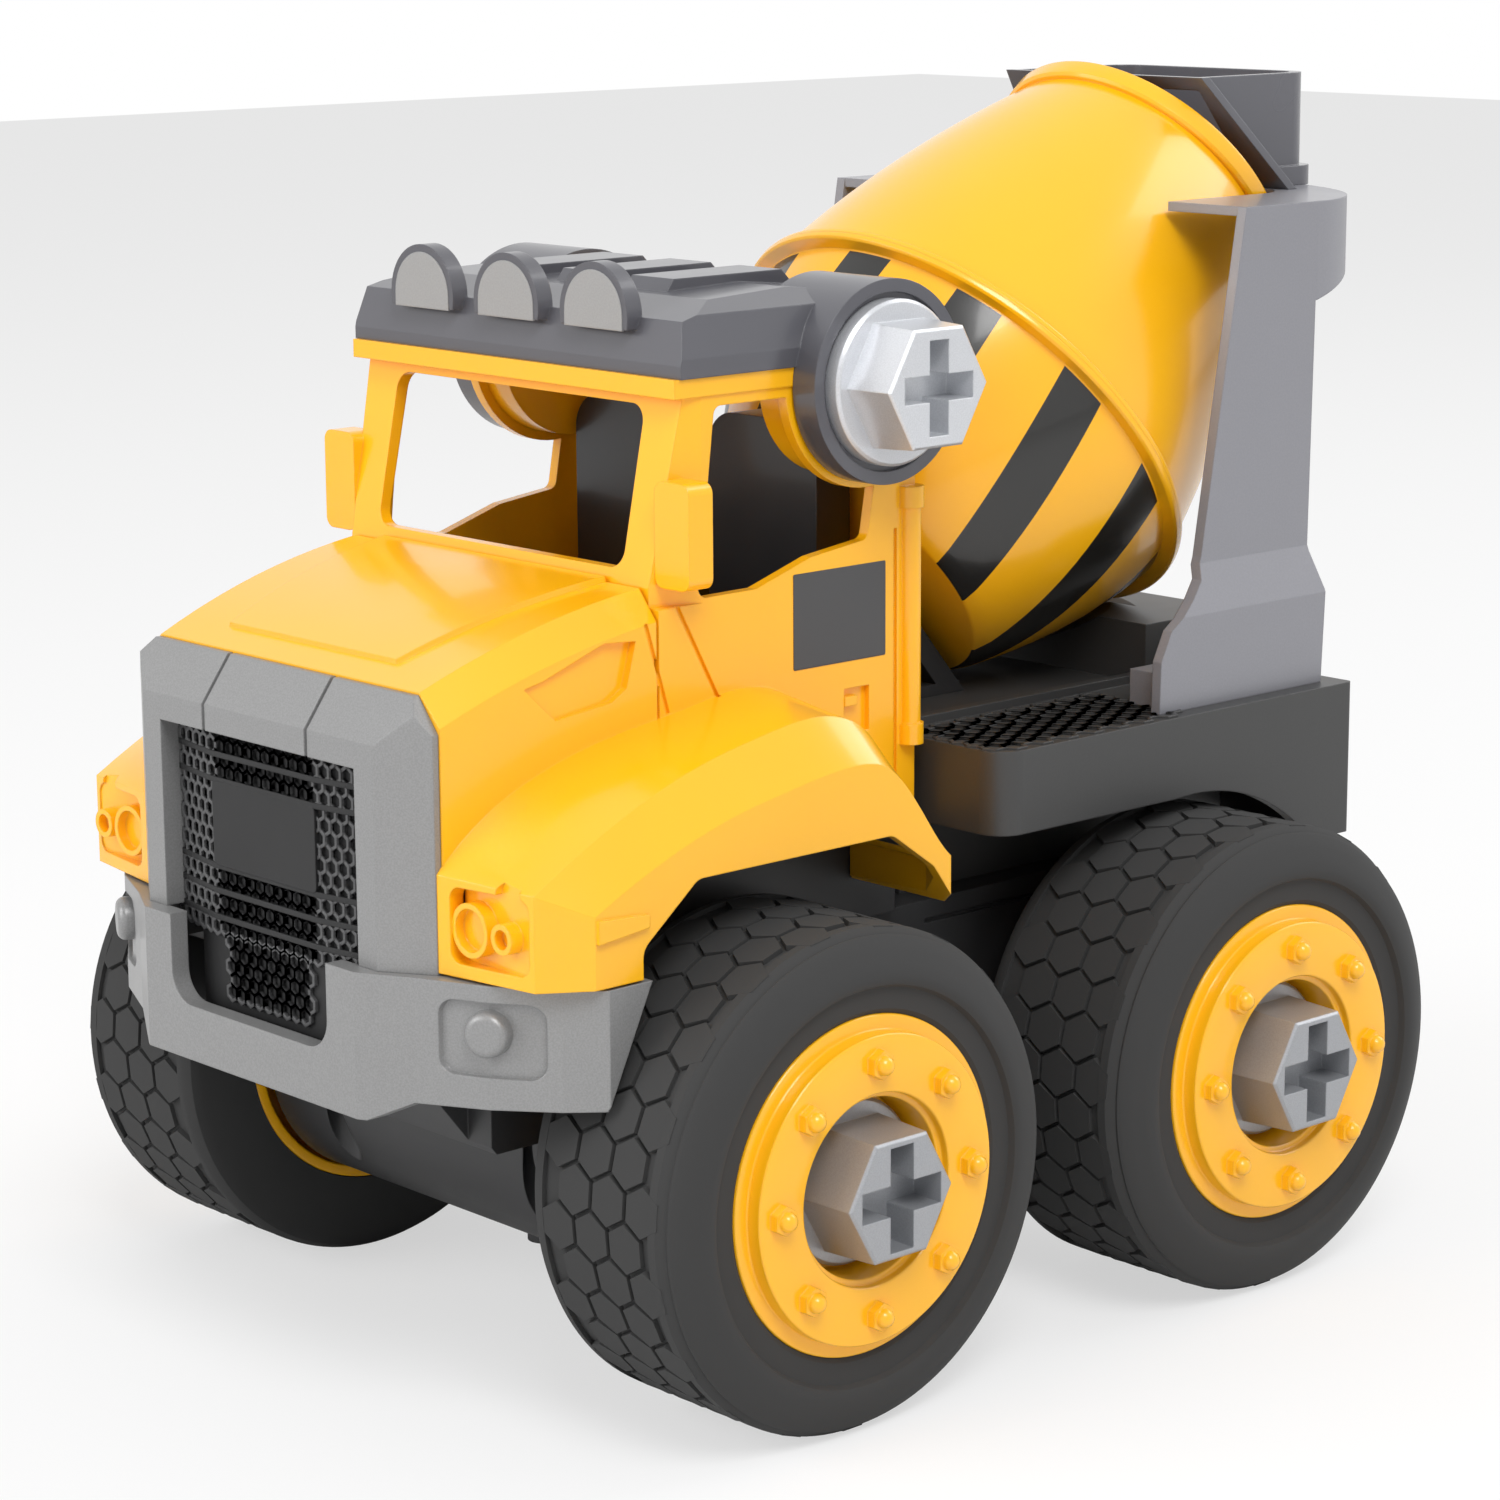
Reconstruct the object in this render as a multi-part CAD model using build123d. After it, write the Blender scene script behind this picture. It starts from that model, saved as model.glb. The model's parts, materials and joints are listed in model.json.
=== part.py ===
"""Toy cement mixer: a take-apart toy truck with a turning drum, in millimetres.

The truck stands on z = 0 and faces -Y, and its left side is +X. While it is drawn, y = 0 is midway
between the axles; when it is written, it is moved so that the origin is under the middle of its length.
"""
from build123d import *
from math import cos, radians, sin, sqrt
import os

# ---- Walls and fits ----
WALL = 2.0
SEAT_GAP = 0.05
RUNNING_GAP = 0.05
END_GAP = 0.3
SCREW_RADIUS = 1.5
SCREW_HEAD_RADIUS = 2.8
SCREW_HEAD_HEIGHT = 2.0

# ---- Wheels ----
WHEELBASE = 96.6
TYRE_RADIUS = 40.0
TYRE_INNER_X = 44.7
TREAD_WIDTH = 29.5
SHOULDER = 2.6
SIDEWALL_BULGE = 4.3
SIDEWALL_RADIUS = 33.0
SIDEWALL_STEP = 1.4
TYRE_STEP_RADIUS = 31.0
TYRE_SEAT_RADIUS = 26.8
RIM_FACE_RADIUS = 24.4
RIM_FACE_PROUD = 2.6
RIM_POCKET_RADIUS = 15.2
RIM_POCKET_DEPTH = 9.0
HUB_RADIUS = 12.0
RIM_WEB = 7.0
RIM_LIP = 2.0
NUT_COUNT = 8
NUT_CIRCLE_RADIUS = 20.0
NUT_FLATS = 4.0
NUT_HEIGHT = 1.5
NUT_DOME_HEIGHT = 1.5

# ---- Large bolts ----
AXLE_RADIUS = 8.0
BOLT_THREAD_RADIUS = 5.0
BOLT_THREAD_LENGTH = 12.0
BOLT_FLANGE_RADIUS = 13.2
BOLT_FLANGE = 3.0
BOLT_FLATS = 18.7
BOLT_BASE_FLATS = 19.6
WHEEL_BOLT_HEX = 11.1
ROOF_BOLT_HEX = 9.0
WHEEL_CROSS_WIDTH = 4.9
WHEEL_CROSS_LENGTH = 16.6
ROOF_CROSS_WIDTH = 4.2
ROOF_CROSS_LENGTH = 15.0
CROSS_DEPTH = 6.0

# ---- Chassis ----
AXLE_HOUSING_RADIUS = 24.5
HOUSING_HALF_LENGTH = 43.0
FRAME_HALF_WIDTH = 36.0
FRAME_BOTTOM_Z = 50.0
FRAME_TOP_Z = 68.0
FRAME_REAR_Y = 86.0
FRAME_FRONT_Y = -97.0
NOSE_BOTTOM_Z = 44.0
GROOVE = 0.8
TUB_TOP_Z = 99.0
LINER_THICKNESS = 1.4

# ---- Deck ----
DECK_TOP_Z = 96.6
DECK_LEDGE = 3.5
DECK_FRONT_Y = 1.4
DECK_REAR_Y = 89.4
DECK_CORNER = 5.0
SKIRT_BOTTOM_Z = 82.6
DECK_TAIL_BOTTOM_Z = 69.7
DECK_ARCH_RADIUS = 42.8
RISER_HALF_WIDTH = 30.0
RISER_FRONT_Y = 5.0
REAR_BLOCK_HALF_WIDTH = 33.0
REAR_BLOCK_FRONT_Y = 62.0
REAR_BLOCK_TOP_Z = 107.0
RAIL_INNER_X = 30.0
RAIL_WIDTH = 2.0
RAIL_HEIGHT = 1.6

# ---- Drum ----
DRUM_TILT = 39.94
DRUM_LIP_Y = 49.07
DRUM_LIP_Z = 141.13
DRUM_FRONT_LENGTH = 36.3
DRUM_REAR_LENGTH = 58.0
DRUM_FRONT_RADIUS = 26.7
DRUM_MIDDLE_RADIUS = 43.0
DRUM_NECK_RADIUS = 27.5
DRUM_BULGE = 2.0
LIP_RADIUS = 45.24
LIP_HALF_WIDTH = 1.2
MOUTH_RING_RADIUS = 28.7
MOUTH_RING_LENGTH = 3.7
PIVOT_RADIUS = 5.0
PIVOT_HEAD_RADIUS = 9.0
PIVOT_HEAD = 2.5
DRUM_AIR = 1.4

# ---- Drum pedestal ----
EAR_GAP = 3.2
EAR_THICKNESS = 4.0
EAR_RADIUS = 15.5
GUSSET_THICKNESS = 2.4
GUSSET_SPREAD = 9.0

# ---- Tower ----
TOWER_DRUM_GAP = 2.76
TOWER_BEND = 3.5
TOWER_TOP_Z = 180.0
TOWER_TOP_THICKNESS = 1.6
TOWER_FRONT_Y = 43.1
TOWER_REAR_Y = 85.7
BEND_BOTTOM_Z = 112.5
BEND_TOP_Z = 120.5
YOKE_DEPTH = 31.0
YOKE_SIDE_BOTTOM_Z = 163.0
YOKE_REAR_BOTTOM_Z = 171.5
CRADLE_THICKNESS = 3.0
CRADLE_FROM_MOUTH = 8.0
FOOT_WIDTH = 10.5
FOOT_HEIGHT = 6.0
FOOT_LENGTH = 8.0

# ---- Hopper ----
HOPPER_FLANGE = 1.5
HOPPER_GAP = 3.3
HOPPER_HALF_WIDTH = 23.0
HOPPER_FLARE = 7.4
HOPPER_WALL = 1.5
HOPPER_HEIGHT = 20.0
HOPPER_REAR_Y = 115.5
HOPPER_CORNER = 5.0
HOPPER_FOOT = 1.2
HOPPER_FOOT_HEIGHT = 3.5

# ---- Cab ----
CAB_HALF_WIDTH = 40.0
CAB_REAR_Y = -1.5
CAB_TOP_Z = 160.3
CAB_RIM = 3.0
CAB_RIM_PROUD = 0.4
CAB_RIM_FRONT_Y = -53.2
PILLAR_FOOT_Y = -56.5
PILLAR_TOP_Y = -50.0
PILLAR_INSET = 2.6
PILLAR_DEPTH = 9.0
COWL_Z = 128.3
SILL_Z = 84.0
WINDSHIELD_HALF_WIDTH = 31.0
WINDSHIELD_BOTTOM_Z = 130.5
WINDSHIELD_TOP_Z = 155.6
REAR_WINDOW_HALF_WIDTH = 25.0
REAR_WINDOW_BOTTOM_Z = 132.0
REAR_WINDOW_TOP_Z = 151.0
WINDOW_CORNER = 3.0
SEAM = 0.7
SEAM_DEPTH = 0.6

# ---- Bonnet and fenders ----
HOOD_FRONT_Y = -98.0
HOOD_MIDDLE_Y = -78.0
HOOD_REAR_Y = -57.0
HOOD_BOTTOM_Z = 75.4
PANEL_RISE = 0.9
FENDER_CREST_X = 57.0
FENDER_LIP_X = 62.0
VENT_DEPTH = 1.1
MIRROR_HEIGHT = 16.5
MIRROR_WIDTH = 8.0
MIRROR_DEPTH = 4.9
HEADLIGHT_FLOOR_Y = -95.9
RING_Z = 83.0
LARGE_RING = (44.6, 4.2)
SMALL_RING = (52.0, 2.4)
PIPE_RADIUS = 1.8
COLLAR_RADIUS = 2.3

# ---- Roof ----
ROOF_HALF_WIDTH = 40.9
ROOF_FRONT_Y = -52.3
ROOF_REAR_Y = 0.5
ROOF_BOSS_RADIUS = 16.3
ROOF_BOSS_Y = -12.5
ROOF_BOSS_Z = 157.0
ROOF_BOSS_X = 45.5
LAMP_RADIUS = 8.1
LAMP_SPACING = 21.5
LAMP_THICKNESS = 3.0

# ---- Front end ----
BUMPER_FRONT_Y = -107.0
BUMPER_TOP_Z = 75.0
BUMPER_BOTTOM_Z = 52.0
WING_BOTTOM_Z = 56.5
BUMPER_WALL = 3.2
BUMPER_GAP_HALF_WIDTH = 20.5
BUMPER_GAP_BOTTOM_Z = 61.0
WING_INSET = 0.9
FOG_LAMP_X = 47.5
FOG_LAMP_Z = 67.6
FOG_LAMP_RADIUS = 3.6
FOG_LAMP_PROUD = 1.6
FOG_LAMP_TURN = 28.0
GRILLE_FRONT_Y = -104.3
GRILLE_HALF_WIDTH = 25.3
GRILLE_TOP_Z = 105.4
GRILLE_FACET_X = 30.0
GRILLE_FRAME_HALF_WIDTH = 38.0
GRILLE_EDGE_Z = 109.6
GRILLE_CAP_Z = 116.9
INSERT_SET_BACK = 2.2
INSERT_THICKNESS = 2.6
INSERT_BEND_X = 13.4
INSERT_BOTTOM_Z = 57.5
INSERT_SWEEP = 2.0
BAR_PROUD = 0.9
BAR_HEIGHT = 0.8
BAR_LEVELS = [105.8, 101.6, 97.5, 83.6, 79.6, 75.3]
MESH_PITCH = 3.2
MESH_FLATS = 2.6
MESH_DEPTH = 0.9

# ---- Worked out from the sizes above ----
TOWER_HALF_WIDTH = LIP_RADIUS + TOWER_DRUM_GAP + WALL
TOWER_FOOT_X = TOWER_HALF_WIDTH + TOWER_BEND
DECK_HALF_WIDTH = TOWER_FOOT_X + DECK_LEDGE
FOOT_INNER_X = TOWER_FOOT_X - FOOT_WIDTH
FRONT_AXLE_Y = -WHEELBASE / 2
REAR_AXLE_Y = WHEELBASE / 2
AXLE_Z = TYRE_RADIUS
TREAD_OUTER_X = TYRE_INNER_X + TREAD_WIDTH
SIDEWALL_X = TREAD_OUTER_X + SIDEWALL_BULGE
RIM_FACE_X = TREAD_OUTER_X + SIDEWALL_BULGE - SIDEWALL_STEP + RIM_FACE_PROUD
POCKET_FLOOR_X = RIM_FACE_X - RIM_POCKET_DEPTH
YOKE_REAR_Y = TOWER_REAR_Y + YOKE_DEPTH
CENTRE_Y = (BUMPER_FRONT_Y + YOKE_REAR_Y) / 2
DRUM_DIRECTION = Vector(0, cos(radians(DRUM_TILT)), sin(radians(DRUM_TILT)))
DRUM_CENTRE = Vector(0, DRUM_LIP_Y, DRUM_LIP_Z)
DRUM_PLANE = Plane(origin=DRUM_CENTRE, x_dir=DRUM_DIRECTION, z_dir=(1, 0, 0))
MOUTH_END = DRUM_REAR_LENGTH + MOUTH_RING_LENGTH


# ---- Drawing helpers ----
def block(x_from, x_to, y_from, y_to, z_from, z_to):
    middle = Pos((x_from + x_to) / 2, (y_from + y_to) / 2, (z_from + z_to) / 2)
    return middle * Box(x_to - x_from, y_to - y_from, z_to - z_from)


def face_of(*curves):
    return make_face([edge for curve in curves for edge in curve.edges()])


def rounded_outline(points, radius):
    return make_face(FilletPolyline(*points, radius=radius, close=True))


def side_prism(outline, x_from, x_to):
    """A side-view outline of (y, z) points or a flat face, carried from x_from to x_to."""
    face = outline if isinstance(outline, Sketch) else Polygon(*outline)
    return Pos(x_from, 0, 0) * extrude(Plane.YZ * face, x_to - x_from, dir=(1, 0, 0))


def front_prism(outline, y_from, y_to):
    """A front-view outline of (x, z) points or a flat face, carried from y_from to y_to."""
    face = outline if isinstance(outline, Sketch) else Polygon(*outline)
    return Pos(0, y_from, 0) * extrude(Plane.XZ * face, y_to - y_from, dir=(0, 1, 0))


def plan_prism(outline, z_from, z_to):
    """A plan outline of (x, y) points or a flat face, carried from z_from to z_to."""
    face = outline if isinstance(outline, Sketch) else Polygon(*outline)
    return Pos(0, 0, z_from) * extrude(face, z_to - z_from, dir=(0, 0, 1))


def cross_cylinder(radius, x_from, x_to, y, z):
    return Pos((x_from + x_to) / 2, y, z) * Rot(0, 90, 0) * Cylinder(radius, x_to - x_from)


def upright_cylinder(radius, x, y, z_from, z_to):
    return Pos(x, y, (z_from + z_to) / 2) * Cylinder(radius, z_to - z_from)


def hexagon(flats, turn):
    """A six-sided outline, flats across; turn 0 puts a flat on top and turn 30 a corner."""
    return RegularPolygon(flats / sqrt(3), 6, rotation=turn)


def tapered_hexagon(base_flats, face_flats, x_from, x_to, y, z):
    """A hexagonal head along X with a flat on top, narrower at x_to."""
    base = Pos(x_from, y, z) * (Plane.YZ * hexagon(base_flats, 0))
    face = Pos(x_to, y, z) * (Plane.YZ * hexagon(face_flats, 0))
    return loft([base, face])


def spun(profile):
    """A closed profile of (distance along the axis, radius) turned about its own X axis."""
    return revolve(profile, Axis.X, 360)


def mirrored(shape):
    return mirror(shape, about=Plane.YZ)


def pair(shape):
    return shape + mirrored(shape)


# ---- Wheels ----
def tyre(axle_y):
    """A left tyre: flat tread, rounded shoulders, bulging outer wall and a flat ring round the rim."""
    ring_x = SIDEWALL_X - SIDEWALL_STEP
    tread = Polyline(
        (TYRE_INNER_X, TYRE_SEAT_RADIUS + SEAT_GAP),
        (TYRE_INNER_X, TYRE_RADIUS - SHOULDER),
        (TYRE_INNER_X + SHOULDER, TYRE_RADIUS),
        (TREAD_OUTER_X - SHOULDER, TYRE_RADIUS),
    )
    shoulder_end = (TREAD_OUTER_X + SHOULDER / 4, TYRE_RADIUS - SHOULDER)
    shoulder = ThreePointArc(
        tread @ 1,
        (TREAD_OUTER_X - SHOULDER / 4, TYRE_RADIUS - SHOULDER / 3),
        shoulder_end,
    )
    wall_middle = (TREAD_OUTER_X + SIDEWALL_BULGE * 0.75, (TYRE_RADIUS - SHOULDER + SIDEWALL_RADIUS) / 2)
    wall = ThreePointArc(shoulder_end, wall_middle, (SIDEWALL_X, SIDEWALL_RADIUS))
    ring = Polyline(
        (SIDEWALL_X, SIDEWALL_RADIUS),
        (SIDEWALL_X, TYRE_STEP_RADIUS + SIDEWALL_STEP / 2),
        (ring_x, TYRE_STEP_RADIUS),
        (ring_x, TYRE_SEAT_RADIUS + SEAT_GAP),
        (TYRE_INNER_X, TYRE_SEAT_RADIUS + SEAT_GAP),
    )
    return Pos(0, axle_y, AXLE_Z) * spun(face_of(tread, shoulder, wall, ring))


def rim_nut(angle):
    nut_y = NUT_CIRCLE_RADIUS * cos(angle)
    nut_z = NUT_CIRCLE_RADIUS * sin(angle)
    top_x = RIM_FACE_X + NUT_HEIGHT
    base = side_prism(Pos(nut_y, nut_z) * hexagon(NUT_FLATS, 30), RIM_FACE_X - SEAT_GAP, top_x)
    dome_middle = Pos(top_x + NUT_DOME_HEIGHT / 2, nut_y, nut_z)
    dome = dome_middle * Rot(0, 90, 0) * Cone(NUT_FLATS * 0.42, NUT_FLATS * 0.2, NUT_DOME_HEIGHT)
    return base + dome


def rim(axle_y):
    """A left rim: tyre seat, hollow back, hub that turns on its bolt, deep pocket and a ring of nuts."""
    bore = AXLE_RADIUS + RUNNING_GAP
    inner_x = HOUSING_HALF_LENGTH + END_GAP
    back_x = TYRE_INNER_X + SEAT_GAP
    web_x = POCKET_FLOOR_X - RIM_WEB
    neck_x = SIDEWALL_X - SIDEWALL_STEP
    edge = 0.8
    profile = Polygon(
        (inner_x, bore),
        (inner_x, HUB_RADIUS),
        (web_x, HUB_RADIUS),
        (web_x, TYRE_SEAT_RADIUS - RIM_LIP),
        (back_x, TYRE_SEAT_RADIUS - RIM_LIP),
        (back_x, TYRE_SEAT_RADIUS),
        (neck_x, TYRE_SEAT_RADIUS),
        (neck_x, RIM_FACE_RADIUS),
        (RIM_FACE_X - edge, RIM_FACE_RADIUS),
        (RIM_FACE_X, RIM_FACE_RADIUS - edge),
        (RIM_FACE_X, RIM_POCKET_RADIUS + edge),
        (RIM_FACE_X - edge, RIM_POCKET_RADIUS),
        (POCKET_FLOOR_X, RIM_POCKET_RADIUS),
        (POCKET_FLOOR_X, bore),
    )
    body = spun(profile)
    nut_angles = [radians(90 + 360 * index / NUT_COUNT) for index in range(NUT_COUNT)]
    body = body + [rim_nut(angle) for angle in nut_angles]
    return Pos(0, axle_y, AXLE_Z) * body


def bolt_head(flange_x, hex_length, cross_width, cross_length, y, z):
    """A round flange that carries a tapered hexagon with a cross slot in its outer face."""
    hex_x = flange_x + BOLT_FLANGE
    face_x = hex_x + hex_length
    slot_x = face_x - CROSS_DEPTH
    flange = cross_cylinder(BOLT_FLANGE_RADIUS, flange_x, hex_x, y, z)
    flange = chamfer(flange.faces().sort_by(Axis.X)[-1].edges(), 0.5)
    head = tapered_hexagon(BOLT_BASE_FLATS, BOLT_FLATS, hex_x - SEAT_GAP, face_x, y, z)
    head = chamfer(head.faces().sort_by(Axis.X)[-1].edges(), 0.4)
    half_width = cross_width / 2
    half_length = cross_length / 2
    slot = block(slot_x, face_x + 1, y - half_width, y + half_width, z - half_length, z + half_length)
    slot += block(slot_x, face_x + 1, y - half_length, y + half_length, z - half_width, z + half_width)
    return flange + head - slot


def wheel_bolt(axle_y):
    """A left wheel bolt: thread in the axle housing, smooth shank that the rim turns on, and head."""
    shoulder_x = HOUSING_HALF_LENGTH
    flange_x = POCKET_FLOOR_X + END_GAP
    thread = cross_cylinder(BOLT_THREAD_RADIUS, shoulder_x - BOLT_THREAD_LENGTH, shoulder_x, axle_y, AXLE_Z)
    shank = cross_cylinder(AXLE_RADIUS, shoulder_x, flange_x, axle_y, AXLE_Z)
    return thread + shank + bolt_head(
        flange_x, WHEEL_BOLT_HEX, WHEEL_CROSS_WIDTH, WHEEL_CROSS_LENGTH, axle_y, AXLE_Z
    )


# ---- Arch over a front wheel, shared by the fender and its liner ----
def front_arch(offset_out):
    reach = 31.0 + offset_out
    top = AXLE_Z + 48.9 + offset_out
    points = [
        (FRONT_AXLE_Y - reach, FRAME_BOTTOM_Z),
        (FRONT_AXLE_Y - reach, AXLE_Z + 40.0),
        (FRONT_AXLE_Y - reach + 11.0, top),
        (FRONT_AXLE_Y + 20.5 + offset_out, top),
        (FRONT_AXLE_Y + 29.5 + offset_out, AXLE_Z + 42.5),
        (FRONT_AXLE_Y + 38.5 + offset_out, AXLE_Z + 30.0),
        (FRONT_AXLE_Y + 38.5 + offset_out, FRAME_BOTTOM_Z),
    ]
    return rounded_outline(points, 3.0)


# ---- Screw places: (x, y) of the screws that hold the cab and the deck ----
CAB_SCREWS = [(-26.0, -70.0), (26.0, -70.0), (-26.0, -8.5), (26.0, -8.5)]
DECK_SCREWS = [(-22.0, 16.0), (22.0, 16.0), (-22.0, 76.0), (22.0, 76.0)]
TOWER_SCREW_X = (FOOT_INNER_X + TOWER_FOOT_X - WALL) / 2
TOWER_SCREWS = [(side * TOWER_SCREW_X, y) for side in (-1, 1) for y in (TOWER_FRONT_Y + 8, TOWER_REAR_Y - 8)]
BOSS_RADIUS = 4.5
SCREW_BITE = 8.0


def screw(x, y, head_top_z, tip_z):
    """A screw driven upwards: pan head below head_top_z, shank up to tip_z."""
    head = upright_cylinder(SCREW_HEAD_RADIUS, x, y, head_top_z - SCREW_HEAD_HEIGHT, head_top_z)
    shank = upright_cylinder(SCREW_RADIUS, x, y, head_top_z, tip_z)
    slot = block(x - 0.4, x + 0.4, y - 2, y + 2, head_top_z - SCREW_HEAD_HEIGHT, head_top_z - 1)
    return head + shank - slot


def screw_holes(places, seat_z, from_z, to_z):
    """Clearance holes with a counterbore from from_z up to seat_z, and on to to_z."""
    cuts = []
    for x, y in places:
        cuts.append(upright_cylinder(SCREW_HEAD_RADIUS + SEAT_GAP * 4, x, y, from_z, seat_z))
        cuts.append(upright_cylinder(SCREW_RADIUS + SEAT_GAP, x, y, seat_z, to_z))
    return cuts


SCREW_SEAT_Z = FRAME_TOP_Z - 5.0


# ---- Chassis frame ----
def chassis_frame():
    outline = [
        (FRAME_FRONT_Y, FRAME_TOP_Z),
        (FRAME_FRONT_Y, WING_BOTTOM_Z),
        (FRAME_FRONT_Y + 10, NOSE_BOTTOM_Z),
        (FRONT_AXLE_Y, NOSE_BOTTOM_Z),
        (FRONT_AXLE_Y + 20, FRAME_BOTTOM_Z),
        (FRAME_REAR_Y, FRAME_BOTTOM_Z),
        (FRAME_REAR_Y, FRAME_TOP_Z),
    ]
    frame = side_prism(outline, -FRAME_HALF_WIDTH, FRAME_HALF_WIDTH)
    nose_cheek = block(GRILLE_HALF_WIDTH + 5, FRAME_HALF_WIDTH + 5, FRAME_FRONT_Y - 5, -88, 40, 80)
    frame -= pair(nose_cheek)
    for y in (FRONT_AXLE_Y, REAR_AXLE_Y):
        frame += cross_cylinder(AXLE_HOUSING_RADIUS, -HOUSING_HALF_LENGTH, HOUSING_HALF_LENGTH, y, AXLE_Z)
    frame += upright_cylinder(3.0, 0, FRONT_AXLE_Y, AXLE_Z - AXLE_HOUSING_RADIUS - 3, AXLE_Z)
    shaft_cover = block(-10, 10, FRONT_AXLE_Y, REAR_AXLE_Y, AXLE_Z - 8, FRAME_BOTTOM_Z)
    frame += fillet(shaft_cover.edges().filter_by(Axis.Y).group_by(Axis.Z)[0], 5)
    tub_inset = WALL + SEAT_GAP * 4
    tub_half = CAB_HALF_WIDTH - tub_inset
    tub = block(-tub_half, tub_half, PILLAR_FOOT_Y + 4, CAB_REAR_Y - WALL - SEAT_GAP * 4, FRAME_TOP_Z, TUB_TOP_Z)
    frame += tub
    liner_band = front_arch(LINER_THICKNESS + 0.6) - front_arch(0.6)
    liner = side_prism(liner_band, FRAME_HALF_WIDTH - 1, FENDER_LIP_X - WALL - END_GAP)
    liner -= block(30, 70, -200, 100, 0, FRAME_TOP_Z - 2)
    liner -= block(FRAME_HALF_WIDTH + 4, 70, -200, FRONT_AXLE_Y, 0, BUMPER_TOP_Z + 1)
    liner -= block(30, 70, FRONT_AXLE_Y + 26, 20, 0, TUB_TOP_Z)
    frame += pair(liner)
    groove = block(FRAME_HALF_WIDTH - GROOVE, FRAME_HALF_WIDTH + 1, 5, FRAME_REAR_Y + 1, 64, 64 + GROOVE)
    frame -= pair(groove)
    for x in (-1, 1):
        for y in (-18.0, 0.0):
            pocket = block(12, 30, y, y + 14, FRAME_BOTTOM_Z - 1, FRAME_TOP_Z - 4)
            frame -= pocket if x > 0 else mirrored(pocket)
    for y in (FRONT_AXLE_Y, REAR_AXLE_Y):
        hole = BOLT_THREAD_RADIUS + SEAT_GAP
        start = HOUSING_HALF_LENGTH - BOLT_THREAD_LENGTH - 1
        frame -= pair(cross_cylinder(hole, start, HOUSING_HALF_LENGTH + 1, y, AXLE_Z))
    for cut in screw_holes(CAB_SCREWS + DECK_SCREWS, SCREW_SEAT_Z, 0, FRAME_TOP_Z + 1):
        frame -= cut
    for x, y in CAB_SCREWS:
        frame -= upright_cylinder(BOSS_RADIUS + SEAT_GAP * 4, x, y, FRAME_TOP_Z, TUB_TOP_Z + 1)
        if y > PILLAR_FOOT_Y:
            frame -= block(x - 2, x + 2, y, CAB_REAR_Y, FRAME_TOP_Z, TUB_TOP_Z + 1)
    return frame


# ---- Rear deck ----
def drum_space(air):
    """The room that the turning drum takes, grown by air."""
    profile = Polygon(
        (-DRUM_FRONT_LENGTH - air, 0),
        (-DRUM_FRONT_LENGTH - air, DRUM_FRONT_RADIUS + air),
        (-DRUM_FRONT_LENGTH / 2, (DRUM_FRONT_RADIUS + DRUM_MIDDLE_RADIUS) / 2 + DRUM_BULGE + air),
        (-LIP_HALF_WIDTH - air, DRUM_MIDDLE_RADIUS + air),
        (-LIP_HALF_WIDTH - air, LIP_RADIUS + air),
        (LIP_HALF_WIDTH + air, LIP_RADIUS + air),
        (LIP_HALF_WIDTH + air, DRUM_MIDDLE_RADIUS + DRUM_BULGE / 2 + air),
        (DRUM_REAR_LENGTH / 2, (DRUM_NECK_RADIUS + DRUM_MIDDLE_RADIUS) / 2 + DRUM_BULGE + air),
        (DRUM_REAR_LENGTH, MOUTH_RING_RADIUS + air),
        (MOUTH_END + air, MOUTH_RING_RADIUS + air),
        (MOUTH_END + air, 0),
    )
    return DRUM_PLANE.location * spun(profile)


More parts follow.
